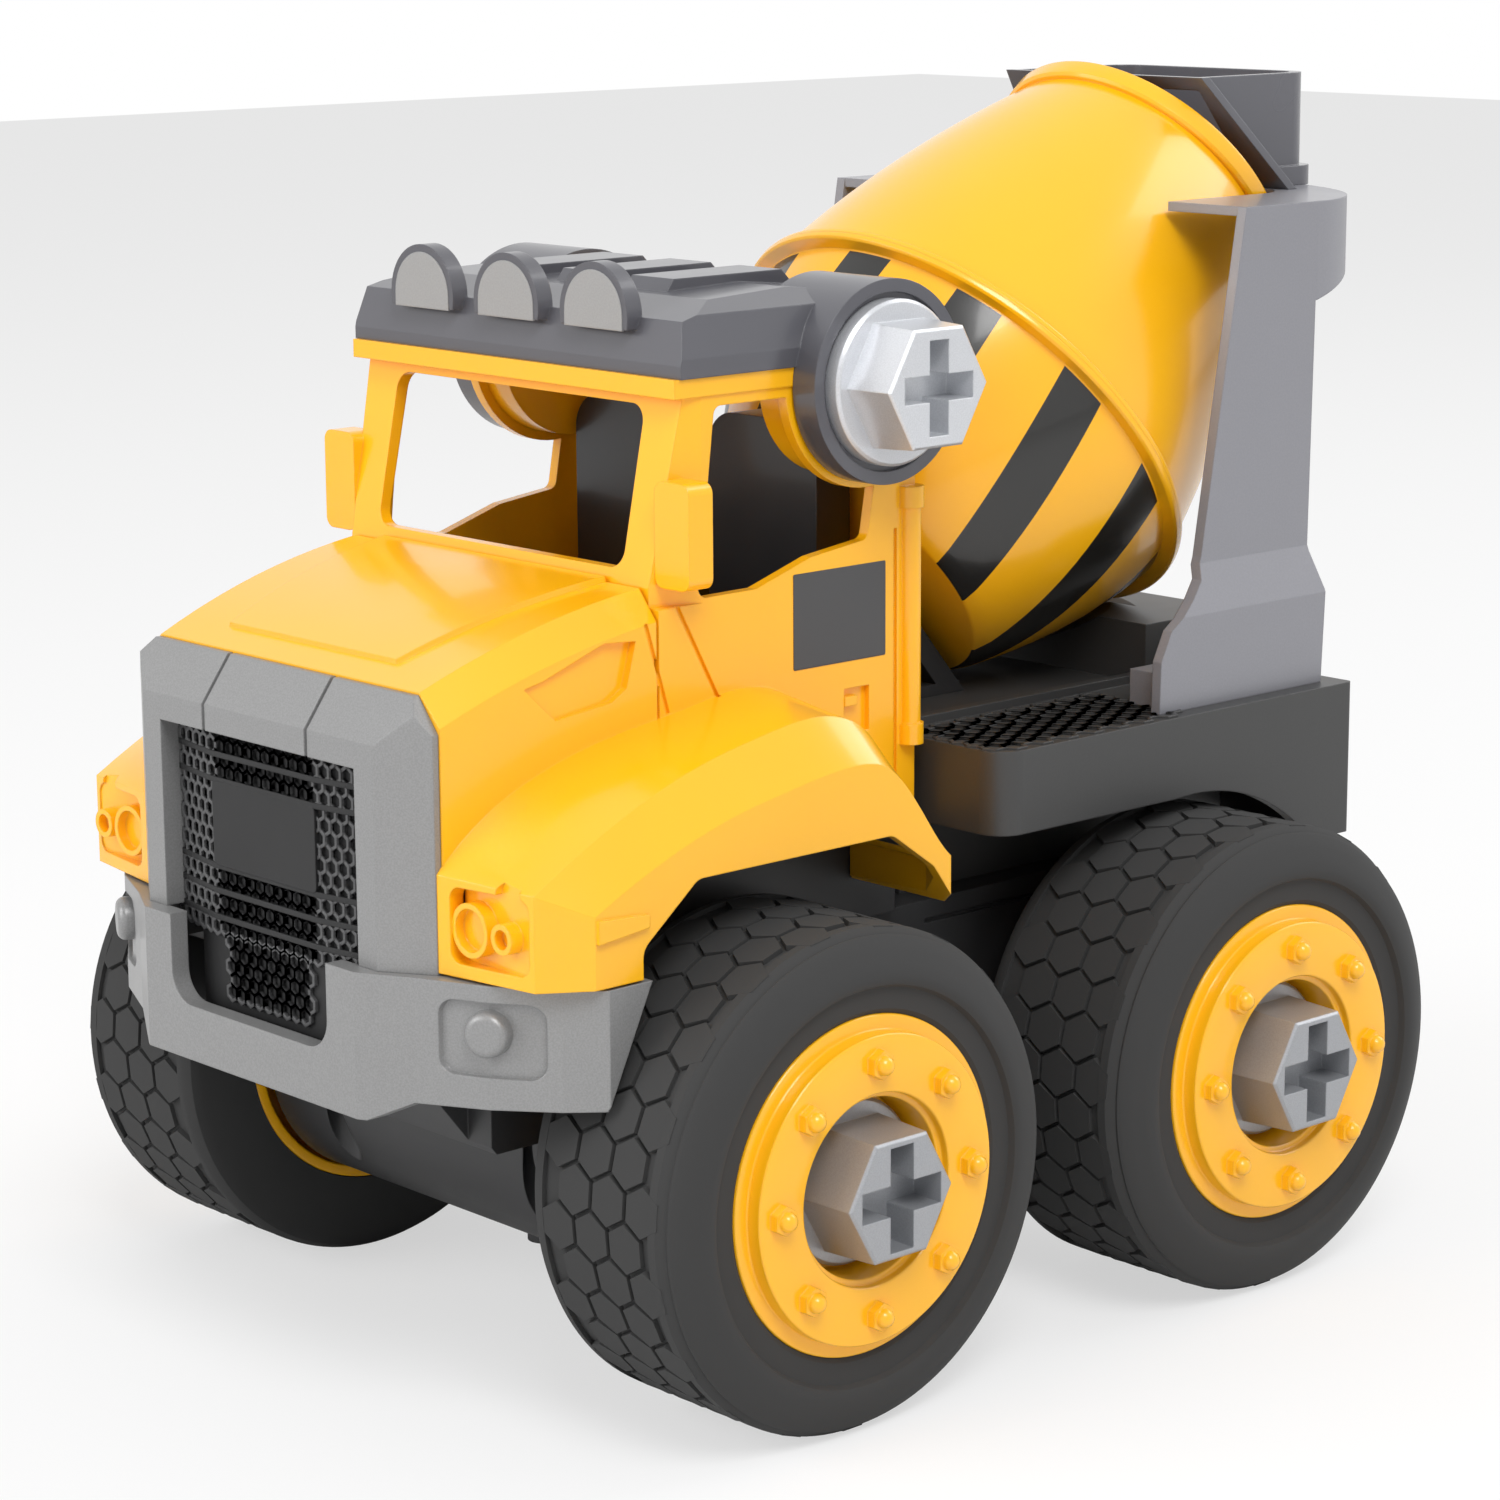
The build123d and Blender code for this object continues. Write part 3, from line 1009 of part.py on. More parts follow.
# ---- Cab interior ----
def cab_interior():
    """Floor, dashboard and two seats, dropped into the chassis tub."""
    half = CAB_HALF_WIDTH - WALL - 1.0
    front = PILLAR_FOOT_Y + 5
    rear = CAB_REAR_Y - WALL - 1.5
    inside = block(-half, half, front, rear, TUB_TOP_Z, TUB_TOP_Z + WALL)
    inside += side_prism([(front, TUB_TOP_Z), (front, 127.0), (front + 5, 127.0), (front + 9, 112.0), (front + 9, TUB_TOP_Z)], -half + 1, half - 1)
    for side in (-1, 1):
        x0, x1 = sorted((side * 4.0, side * 30.0))
        base = block(x0, x1, rear - 24, rear - 1, TUB_TOP_Z, 114)
        inside += fillet(base.edges().filter_by(Axis.X), 2.0)
        back = block(x0, x1, rear - 9, rear - 1.5, 112, 149)
        back = fillet(back.edges().filter_by(Axis.Y).group_by(Axis.Z)[-1], 6.0)
        inside += back
    for x, y in CAB_SCREWS:
        if y > PILLAR_FOOT_Y:
            inside -= upright_cylinder(BOSS_RADIUS + 0.5, x, y, FRAME_TOP_Z, 112.5)
            inside -= block(x - 2, x + 2, y, CAB_REAR_Y, FRAME_TOP_Z, 112.5)
    return inside


# ---- Roof ----
def cab_roof():
    """Roof cap with a rounded front, three half-round lamps, three ribs and a round boss each side."""
    outline = [
        (ROOF_FRONT_Y, CAB_TOP_Z),
        (ROOF_FRONT_Y, CAB_TOP_Z + 2),
        (ROOF_FRONT_Y + 1.6, CAB_TOP_Z + 8.6),
        (ROOF_FRONT_Y + 11, CAB_TOP_Z + 11),
        (ROOF_REAR_Y - 24, CAB_TOP_Z + 11.6),
        (ROOF_REAR_Y - 3, CAB_TOP_Z + 9.6),
        (ROOF_REAR_Y, CAB_TOP_Z + 6),
        (ROOF_REAR_Y, CAB_TOP_Z),
    ]
    cap = side_prism(outline, -ROOF_HALF_WIDTH, ROOF_HALF_WIDTH)
    section = [
        (-ROOF_HALF_WIDTH, CAB_TOP_Z - 1),
        (-ROOF_HALF_WIDTH, CAB_TOP_Z + 3),
        (-ROOF_HALF_WIDTH + 1.6, CAB_TOP_Z + 9.4),
        (-ROOF_HALF_WIDTH + 9, CAB_TOP_Z + 12),
        (ROOF_HALF_WIDTH - 9, CAB_TOP_Z + 12),
        (ROOF_HALF_WIDTH - 1.6, CAB_TOP_Z + 9.4),
        (ROOF_HALF_WIDTH, CAB_TOP_Z + 3),
        (ROOF_HALF_WIDTH, CAB_TOP_Z - 1),
    ]
    cap &= front_prism(section, ROOF_FRONT_Y - 1, ROOF_REAR_Y + 1)
    for x in (-17.0, 0.0, 17.0):
        rib = side_prism(
            [(-40.0, CAB_TOP_Z + 9), (-37.0, CAB_TOP_Z + 13), (-14.0, CAB_TOP_Z + 13), (-10.0, CAB_TOP_Z + 9)], x - 5, x + 5
        )
        cap += rib
    lamp_y = ROOF_FRONT_Y - 0.9
    for x in (-LAMP_SPACING, 0, LAMP_SPACING):
        disc = Pos(x, CAB_TOP_Z + 8.7) * Circle(LAMP_RADIUS)
        disc &= Pos(x, CAB_TOP_Z + 8.7 + LAMP_RADIUS / 2 - 1) * Rectangle(3 * LAMP_RADIUS, LAMP_RADIUS + 2)
        cap += front_prism(disc, lamp_y, lamp_y + LAMP_THICKNESS)
    boss = cross_cylinder(ROOF_BOSS_RADIUS, CAB_HALF_WIDTH + CAB_RIM_PROUD + SEAT_GAP * 2, ROOF_BOSS_X, ROOF_BOSS_Y, ROOF_BOSS_Z)
    rise = cross_cylinder(ROOF_BOSS_RADIUS, CAB_HALF_WIDTH - 12, ROOF_BOSS_X, ROOF_BOSS_Y, ROOF_BOSS_Z)
    rise &= block(0, 60, -60, ROOF_REAR_Y, CAB_TOP_Z, 200)
    boss += rise
    boss -= cross_cylinder(BOLT_FLANGE_RADIUS + 1, ROOF_BOSS_X - 1, ROOF_BOSS_X + 1, ROOF_BOSS_Y, ROOF_BOSS_Z)
    cap += pair(boss)
    hole = cross_cylinder(BOLT_THREAD_RADIUS + SEAT_GAP, CAB_HALF_WIDTH - 14, ROOF_BOSS_X + 1, ROOF_BOSS_Y, ROOF_BOSS_Z)
    return cap - pair(hole)


def roof_bolt():
    """Left roof bolt: thread through the roof's boss into the cab, flange, hexagon and cross slot."""
    flange_x = ROOF_BOSS_X - 1
    thread = cross_cylinder(BOLT_THREAD_RADIUS, CAB_HALF_WIDTH - 7, flange_x, ROOF_BOSS_Y, ROOF_BOSS_Z)
    head = bolt_head(flange_x, ROOF_BOLT_HEX, ROOF_CROSS_WIDTH, ROOF_CROSS_LENGTH, ROOF_BOSS_Y, ROOF_BOSS_Z)
    return thread + head


# ---- Front end ----
def bumper_plan():
    half = [(27.6, BUMPER_FRONT_Y), (36.0, BUMPER_FRONT_Y + 4.5), (47.5, BUMPER_FRONT_Y + 9.5), (57.0, BUMPER_FRONT_Y + 16), (62.0, BUMPER_FRONT_Y + 21), (62.0, -70.0)]
    return [(-x, y) for x, y in reversed(half)] + half


def fog_lamp():
    """Left fog lamp: a short drum with a rounded face, square to the wing that it sits in."""
    length = FOG_LAMP_PROUD + BUMPER_WALL - 1
    lamp = Pos(0, BUMPER_WALL - 1 - length / 2, 0) * Rot(90, 0, 0) * Cylinder(FOG_LAMP_RADIUS, length)
    lamp = fillet(lamp.edges().group_by(Axis.Y)[0], 1.4)
    return Pos(FOG_LAMP_X, BUMPER_FRONT_Y + 9.5, FOG_LAMP_Z) * Rot(0, 0, FOG_LAMP_TURN) * lamp


def front_bumper():
    """Wrap-round bumper with a U-shaped gap in the middle and a sunk fog lamp in each wing."""
    outer = Polygon(*bumper_plan())
    inner = offset(outer, -BUMPER_WALL)
    strip = plan_prism(outer, BUMPER_BOTTOM_Z, BUMPER_TOP_Z) - plan_prism(inner, BUMPER_BOTTOM_Z - 1, BUMPER_TOP_Z + 1)
    elevation = [(-29.0, BUMPER_BOTTOM_Z), (29.0, BUMPER_BOTTOM_Z), (36.0, WING_BOTTOM_Z - 1), (65.0, WING_BOTTOM_Z), (65.0, BUMPER_TOP_Z), (-65.0, BUMPER_TOP_Z), (-65.0, WING_BOTTOM_Z), (-36.0, WING_BOTTOM_Z - 1)]
    bumper = strip & front_prism(elevation, BUMPER_FRONT_Y - 1, -60)
    gap = rounded_outline(
        [(-BUMPER_GAP_HALF_WIDTH, BUMPER_GAP_BOTTOM_Z), (BUMPER_GAP_HALF_WIDTH, BUMPER_GAP_BOTTOM_Z), (BUMPER_GAP_HALF_WIDTH, 90.0), (-BUMPER_GAP_HALF_WIDTH, 90.0)],
        5.0,
    )
    bumper -= front_prism(gap, BUMPER_FRONT_Y - 1, BUMPER_FRONT_Y + 8)
    back = side_prism([(-88.8, BUMPER_BOTTOM_Z - 1), (-77.1, BUMPER_TOP_Z + 1), (-60.0, BUMPER_TOP_Z + 1), (-60.0, BUMPER_BOTTOM_Z - 1)], -70, 70)
    bumper -= back
    wing_face = plan_prism(outer, WING_BOTTOM_Z, BUMPER_TOP_Z)
    wing_face -= plan_prism(offset(outer, -WING_INSET), WING_BOTTOM_Z - 1, BUMPER_TOP_Z + 1)
    half_width, half_height = 2.1 * FOG_LAMP_RADIUS, 1.6 * FOG_LAMP_RADIUS
    panel = Pos(FOG_LAMP_X, FOG_LAMP_Z - 1) * RectangleRounded(2 * half_width, 2 * half_height, 2.5)
    bumper -= pair(front_prism(panel, BUMPER_FRONT_Y, -80) & wing_face)
    bumper += pair(fog_lamp())
    mount_block = block(
        -20, 20, BUMPER_FRONT_Y + BUMPER_WALL - 0.5, FRAME_FRONT_Y, BUMPER_BOTTOM_Z + 1, BUMPER_GAP_BOTTOM_Z - 4
    )
    return bumper + mount_block


def grille_plan(inset):
    points = [(GRILLE_FACET_X - inset / 2, GRILLE_FRONT_Y + inset), (GRILLE_FRAME_HALF_WIDTH - inset, HOOD_FRONT_Y - 1.2), (GRILLE_FRAME_HALF_WIDTH - inset, HOOD_FRONT_Y - SEAT_GAP)]
    return [(-x, y) for x, y in reversed(points)] + points


def grille_frame():
    """Surround of the grille: sloping cap, faceted uprights and a bevelled opening."""
    frame = plan_prism(grille_plan(0), BUMPER_TOP_Z, GRILLE_CAP_Z + 2)
    profile = [(GRILLE_FRONT_Y, BUMPER_TOP_Z), (GRILLE_FRONT_Y, GRILLE_EDGE_Z), (HOOD_FRONT_Y - 1, GRILLE_CAP_Z), (HOOD_FRONT_Y + 5, GRILLE_CAP_Z), (HOOD_FRONT_Y + 5, BUMPER_TOP_Z)]
    frame &= side_prism(profile, -60, 60)
    shoulder = [(-GRILLE_FRAME_HALF_WIDTH, BUMPER_TOP_Z), (GRILLE_FRAME_HALF_WIDTH, BUMPER_TOP_Z), (GRILLE_FRAME_HALF_WIDTH, 111.5), (GRILLE_FRAME_HALF_WIDTH - 4.5, GRILLE_CAP_Z), (-GRILLE_FRAME_HALF_WIDTH + 4.5, GRILLE_CAP_Z), (-GRILLE_FRAME_HALF_WIDTH, 111.5)]
    frame &= front_prism(shoulder, GRILLE_FRONT_Y - 1, HOOD_FRONT_Y + 1)
    opening = block(-GRILLE_HALF_WIDTH, GRILLE_HALF_WIDTH, GRILLE_FRONT_Y - 1, HOOD_FRONT_Y + 1, BUMPER_TOP_Z - 1, GRILLE_TOP_Z)
    frame -= opening
    for x in (-INSERT_BEND_X, INSERT_BEND_X):
        groove = side_prism([(GRILLE_FRONT_Y - 0.5, GRILLE_TOP_Z), (GRILLE_FRONT_Y + 0.5, GRILLE_TOP_Z), (GRILLE_FRONT_Y + 0.5, GRILLE_EDGE_Z - 0.4), (HOOD_FRONT_Y, GRILLE_CAP_Z - 0.8), (HOOD_FRONT_Y, GRILLE_CAP_Z + 1), (GRILLE_FRONT_Y - 0.5, GRILLE_CAP_Z + 1)], x - 0.4, x + 0.4)
        frame -= groove
    return frame


def insert_front_y(x):
    """Front face of the slab behind the grille at x."""
    slope = INSERT_SWEEP / (GRILLE_HALF_WIDTH - INSERT_BEND_X)
    return GRILLE_FRONT_Y + INSERT_SET_BACK + max(0.0, abs(x) - INSERT_BEND_X) * slope


def mesh_cells(x_from, x_to, z_from, z_to):
    """Six-sided pockets of one mesh panel, in rows that are staggered by half a pitch."""
    cell = hexagon(MESH_FLATS, 30)
    cell_height = 2 * MESH_FLATS / sqrt(3)
    row_step = MESH_PITCH * cos(radians(30))
    rows = int((z_to - z_from - cell_height) / row_step) + 1
    z_first = (z_from + z_to - (rows - 1) * row_step) / 2
    cells = []
    for row in range(rows):
        count = int((x_to - x_from - MESH_FLATS) / MESH_PITCH) + 1 - row % 2
        x_first = (x_from + x_to - (count - 1) * MESH_PITCH) / 2
        for index in range(count):
            x = x_first + index * MESH_PITCH
            front = insert_front_y(x)
            cells.append(front_prism(Pos(x, z_first + row * row_step) * cell, front - MESH_DEPTH, front + MESH_DEPTH))
    return cells


def insert_slab(set_back, z_from, z_to, half_width, thickness):
    """Slab that follows the grille: flat in the middle and angled back at the sides."""
    front = GRILLE_FRONT_Y + set_back
    side = insert_front_y(half_width) + set_back - INSERT_SET_BACK
    points = [
        (-half_width, side),
        (-INSERT_BEND_X, front),
        (INSERT_BEND_X, front),
        (half_width, side),
        (half_width, side + thickness),
        (INSERT_BEND_X, front + thickness),
        (-INSERT_BEND_X, front + thickness),
        (-half_width, side + thickness),
    ]
    return plan_prism(points, z_from, z_to)


def grille_insert():
    """Black grille: slab with mesh pockets between cross bars, bare middle plate and lower panel."""
    half = GRILLE_HALF_WIDTH - SEAT_GAP
    lower_half = BUMPER_GAP_HALF_WIDTH - END_GAP
    insert = insert_slab(INSERT_SET_BACK, BUMPER_TOP_Z, GRILLE_TOP_Z - SEAT_GAP, half, INSERT_THICKNESS)
    insert += insert_slab(INSERT_SET_BACK, INSERT_BOTTOM_Z, BUMPER_TOP_Z + 1, lower_half, INSERT_THICKNESS)
    bar_front = INSERT_SET_BACK - BAR_PROUD
    for z in BAR_LEVELS[1:]:
        insert += insert_slab(bar_front, z - BAR_HEIGHT / 2, z + BAR_HEIGHT / 2, half, BAR_PROUD + 1)
    plate_front = GRILLE_FRONT_Y + bar_front
    plate_top, plate_bottom = BAR_LEVELS[2], BAR_LEVELS[3]
    insert += block(
        -INSERT_BEND_X, INSERT_BEND_X, plate_front, plate_front + BAR_PROUD + 1, plate_bottom, plate_top
    )
    pockets = []
    for top, bottom in zip(BAR_LEVELS, BAR_LEVELS[1:]):
        z_from, z_to = bottom + BAR_HEIGHT / 2, top - BAR_HEIGHT / 2
        if top == plate_top:
            for side in (-1, 1):
                x_from, x_to = sorted((side * INSERT_BEND_X, side * half))
                pockets += mesh_cells(x_from, x_to, z_from, z_to)
        else:
            pockets += mesh_cells(-half, half, z_from, z_to)
    lower_middle = lower_half / 2
    lower_from, lower_to = BUMPER_GAP_BOTTOM_Z + BAR_HEIGHT, BAR_LEVELS[-1] - BAR_HEIGHT / 2
    pockets += mesh_cells(-lower_middle, lower_middle, lower_from, lower_to)
    slot = Pos(0.8 * lower_half, (lower_from + lower_to) / 2) * RectangleRounded(0.3 * lower_half, 9.0, 1.0)
    slot_front = insert_front_y(0)
    pockets += [front_prism(slot, slot_front - 1, slot_front + MESH_DEPTH)]
    pockets += [mirrored(pockets[-1])]
    return insert - pockets


# ---- Every node by name ----
def screws(places, seat_z, tip_z):
    group = [screw(x, y, seat_z, tip_z) for x, y in places]
    return Part() + group


def build_nodes():
    nodes = {
        "chassis_frame": chassis_frame(),
        "cab_shell": cab_shell(),
        "cab_interior": cab_interior(),
        "cab_roof": cab_roof(),
        "front_bumper": front_bumper(),
        "grille_frame": grille_frame(),
        "grille_insert": grille_insert(),
        "rear_deck": rear_deck(),
        "drum_pedestal": drum_pedestal(),
        "drum_tower": drum_tower(),
        "hopper": hopper(),
        "drum_front": drum_front(),
        "drum_rear": drum_rear(),
        "drum_pivot_pin": drum_pivot_pin(),
        "cab_screws": screws(CAB_SCREWS, SCREW_SEAT_Z, FRAME_TOP_Z + SCREW_BITE),
        "deck_screws": screws(DECK_SCREWS, SCREW_SEAT_Z, FRAME_TOP_Z + SCREW_BITE),
        "tower_screws": screws(TOWER_SCREWS, DECK_TOP_Z - WALL, DECK_TOP_Z + FOOT_HEIGHT - 1.5),
    }
    left_bolt = roof_bolt()
    nodes["roof_bolt_left"] = left_bolt
    nodes["roof_bolt_right"] = mirrored(left_bolt)
    for place, axle_y in (("front", FRONT_AXLE_Y), ("rear", REAR_AXLE_Y)):
        for piece, shape in (("tyre", tyre(axle_y)), ("rim", rim(axle_y)), ("wheel_bolt", wheel_bolt(axle_y))):
            nodes[f"{piece}_{place}_left"] = shape
            nodes[f"{piece}_{place}_right"] = mirrored(shape)
    return nodes


def main():
    os.makedirs("parts", exist_ok=True)
    to_origin = Pos(0, -CENTRE_Y, 0)
    for name, shape in build_nodes().items():
        export_step(to_origin * shape, f"parts/{name}.step")


if __name__ == "__main__":
    main()
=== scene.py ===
"""Toy cement mixer: finishes, detailed pieces, light and camera round the fixed frame of its parts.

The truck faces -Y and its left side is +X. Sizes in the classes are millimetres and become metres
in the meshes.
"""

import json
import logging
import math
from dataclasses import dataclass, field
from enum import Enum
from typing import Any, Optional, Sequence, Union

import bpy
from mathutils import Matrix, Vector

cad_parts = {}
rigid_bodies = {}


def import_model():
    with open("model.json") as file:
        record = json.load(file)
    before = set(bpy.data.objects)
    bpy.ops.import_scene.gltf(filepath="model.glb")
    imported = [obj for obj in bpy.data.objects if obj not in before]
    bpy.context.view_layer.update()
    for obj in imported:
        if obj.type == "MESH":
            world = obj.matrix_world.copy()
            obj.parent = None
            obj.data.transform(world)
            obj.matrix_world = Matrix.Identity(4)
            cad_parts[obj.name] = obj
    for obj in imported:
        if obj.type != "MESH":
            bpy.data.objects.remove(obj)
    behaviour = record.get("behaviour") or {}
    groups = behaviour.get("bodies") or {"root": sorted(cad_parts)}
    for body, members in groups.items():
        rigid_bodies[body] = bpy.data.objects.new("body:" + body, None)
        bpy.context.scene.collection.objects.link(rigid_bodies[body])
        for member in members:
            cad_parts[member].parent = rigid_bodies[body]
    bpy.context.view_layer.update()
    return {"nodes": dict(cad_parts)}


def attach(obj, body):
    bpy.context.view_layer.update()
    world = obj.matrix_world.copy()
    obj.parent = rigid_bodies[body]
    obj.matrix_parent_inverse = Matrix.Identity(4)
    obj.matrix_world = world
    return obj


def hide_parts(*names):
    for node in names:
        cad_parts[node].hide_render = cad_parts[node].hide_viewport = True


for leftover in list(bpy.data.objects):
    bpy.data.objects.remove(leftover)
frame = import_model()

LOG = logging.getLogger("mixer")
MM = 0.001
CENTRE_Y = 4.85
Number = Union[float, "Wire"]
Profile = list[tuple[float, float]]


def linear(red: int, green: int, blue: int) -> tuple[float, float, float, float]:
    """Turns a colour written in 0 to 255 steps into the shader's linear values.

    Args:
        red: Red, 0 to 255.
        green: Green, 0 to 255.
        blue: Blue, 0 to 255.

    Returns:
        Linear red, green, blue and a full alpha.
    """
    steps = [value / 255 for value in (red, green, blue)]
    values = [s / 12.92 if s <= 0.04045 else ((s + 0.055) / 1.055) ** 2.4 for s in steps]
    return (values[0], values[1], values[2], 1.0)


# ---- Node trees written as expressions ----
class Wire:
    """An output socket that sums, products and comparisons can be written on."""

    def __init__(self, board: "Board", socket: bpy.types.NodeSocket) -> None:
        """Keeps the board that the socket belongs to."""
        self.board = board
        self.socket = socket

    def __add__(self, other: Number) -> "Wire":
        """Sum."""
        return self.board.math("ADD", self, other)

    __radd__ = __add__

    def __sub__(self, other: Number) -> "Wire":
        """Difference."""
        return self.board.math("SUBTRACT", self, other)

    def __rsub__(self, other: Number) -> "Wire":
        """Difference from a number on the left."""
        return self.board.math("SUBTRACT", other, self)

    def __mul__(self, other: Number) -> "Wire":
        """Product."""
        return self.board.math("MULTIPLY", self, other)

    __rmul__ = __mul__

    def __truediv__(self, other: Number) -> "Wire":
        """Quotient."""
        return self.board.math("DIVIDE", self, other)

    def __mod__(self, other: Number) -> "Wire":
        """Remainder, never below zero."""
        return self.board.math("FLOORED_MODULO", self, other)

    def __abs__(self) -> "Wire":
        """Size without sign."""
        return self.board.math("ABSOLUTE", self)

    def __gt__(self, other: Number) -> "Wire":
        """1 where this is the greater, else 0."""
        return self.board.math("GREATER_THAN", self, other)

    def __lt__(self, other: Number) -> "Wire":
        """1 where this is the lesser, else 0."""
        return self.board.math("LESS_THAN", self, other)

    def above(self, edge: float, softness: float) -> "Wire":
        """0 below an edge and 1 above it, with a soft step.

        Args:
            edge: Where the step is.
            softness: Width of the step.

        Returns:
            The step.
        """
        return self.board.math("MULTIPLY", (self - edge) / softness + 0.5, 1.0, clamp=True)


class Board:
    """A node tree that nodes are laid out on, for a material or a shape."""

    def __init__(self, tree: bpy.types.NodeTree) -> None:
        """Keeps the tree."""
        self.tree = tree

    def node(
        self, kind: str, settings: Optional[dict[str, Any]] = None, inputs: Optional[dict[Any, Any]] = None
    ) -> bpy.types.Node:
        """Adds a node, sets it up, and then fills its sockets.

        Args:
            kind: The node's type.
            settings: Properties by name; "stops" fills a ramp with (position, colour) pairs.
            inputs: Values or wires by the socket's name or number.

        Returns:
            The node.
        """
        made = self.tree.nodes.new(kind)
        for name, value in (settings or {}).items():
            if name == "stops":
                elements = made.color_ramp.elements
                while len(elements) < len(value):
                    elements.new(1.0)
                for element, (position, colour) in zip(elements, value):
                    element.position = position
                    element.color = colour
            else:
                setattr(made, name, value)
        for key, value in (inputs or {}).items():
            socket = made.inputs[key]
            if isinstance(value, Wire):
                self.tree.links.new(value.socket, socket)
            else:
                socket.default_value = value
        return made

    def wire(
        self,
        kind: str,
        settings: Optional[dict[str, Any]] = None,
        inputs: Optional[dict[Any, Any]] = None,
        output: Union[int, str] = 0,
    ) -> Wire:
        """Adds a node and gives one of its outputs.

        Args:
            kind: The node's type.
            settings: Properties by name.
            inputs: Values or wires by socket.
            output: The output's name or number.

        Returns:
            The output as a wire.
        """
        return Wire(self, self.node(kind, settings, inputs).outputs[output])

    def math(self, operation: str, *values: Number, clamp: bool = False) -> Wire:
        """Adds a Math node.

        Args:
            operation: The node's operation.
            values: Numbers or wires in order.
            clamp: Whether the result is kept between 0 and 1.

        Returns:
            The result.
        """
        settings = {"operation": operation, "use_clamp": clamp}
        return self.wire("ShaderNodeMath", settings, dict(enumerate(values)))

    def vector(self, operation: str, *values: Any, output: Union[int, str] = 0) -> Wire:
        """Adds a Vector Math node.

        Args:
            operation: The node's operation.
            values: Vectors or wires in order.
            output: The output's name or number.

        Returns:
            The result.
        """
        return self.wire("ShaderNodeVectorMath", {"operation": operation}, dict(enumerate(values)), output)

    def blend(self, factor: Number, low: Any, high: Any) -> Wire:
        """Mixes two colours.

        Args:
            factor: 0 gives low and 1 gives high.
            low: First colour.
            high: Second colour.

        Returns:
            The colour.
        """
        return self.wire("ShaderNodeMix", {"data_type": "RGBA"}, {0: factor, 6: low, 7: high}, 2)

    def noise(self, point: Wire, size: float, detail: float = 2.0) -> Wire:
        """Adds soft noise.

        Args:
            point: Where it is read.
            size: About how large its patches are, in millimetres.
            detail: How many finer layers it has.

        Returns:
            A value round 0.5.
        """
        inputs = {"Vector": point, "Scale": 1 / (size * MM), "Detail": detail, "Roughness": 0.5}
        return self.wire("ShaderNodeTexNoise", {"noise_dimensions": "3D"}, inputs)


# ---- Finishes ----
@dataclass(frozen=True)
class Moulding:
    """A moulded plastic or rubber: colour, gloss, fine grain and faint flow marks."""

    name: str
    colour: tuple[int, int, int]
    roughness: float
    grain: float = 0.35
    relief: float = 0.01
    speckle: float = 0.0
    mottle: float = 0.05
    coat: float = 0.0
    metallic: float = 0.0
    soft_edge: float = 0.35

    def colour_wire(self, board: Board, point: Wire) -> Wire:
        """Base colour with broad flow marks and fine speckle.

        Args:
            board: The material's tree.
            point: Object coordinates.

        Returns:
            The colour.
        """
        tone = linear(*self.colour)
        dark = tuple(value * (1 - self.mottle) for value in tone[:3]) + (1.0,)
        pale = tuple(min(1.0, value * (1 + self.mottle)) for value in tone[:3]) + (1.0,)
        base = board.blend(board.noise(point, 22.0, 3.0), dark, pale)
        if self.speckle > 0:
            low = tuple(value * (1 - self.speckle) for value in tone[:3]) + (1.0,)
            high = tuple(min(1.0, value * (1 + self.speckle)) for value in tone[:3]) + (1.0,)
            fine = board.blend(board.noise(point, self.grain, 1.0).above(0.5, 0.3), low, high)
            base = board.blend(0.5, base, fine)
        return base

    def material(self) -> bpy.types.Material:
        """Builds the material once.

        Returns:
            The material.
        """
        ready = bpy.data.materials.get(self.name)
        if ready is not None:
            return ready
        made = bpy.data.materials.new(self.name)
        made.use_nodes = True
        made.node_tree.nodes.clear()
        board = Board(made.node_tree)
        point = board.wire("ShaderNodeTexCoord", output="Object")
        broad = board.noise(point, 14.0, 2.0)
        fine = board.noise(point, self.grain, 2.0)
        normal = board.wire("ShaderNodeBevel", {"samples": 4}, {"Radius": self.soft_edge * MM})
        grained = board.wire(
            "ShaderNodeBump",
            None,
            {"Strength": 1.0, "Distance": self.relief * MM, "Height": fine, "Normal": normal},
        )
        shader = board.wire(
            "ShaderNodeBsdfPrincipled",
            None,
            {
                "Base Color": self.colour_wire(board, point),
                "Roughness": self.roughness + (broad - 0.5) * 0.1,
                "Metallic": self.metallic,
                "Coat Weight": self.coat,
                "Coat Roughness": 0.08,
                "Normal": grained,
            },
        )
        board.node("ShaderNodeOutputMaterial", None, {"Surface": shader})
        return made


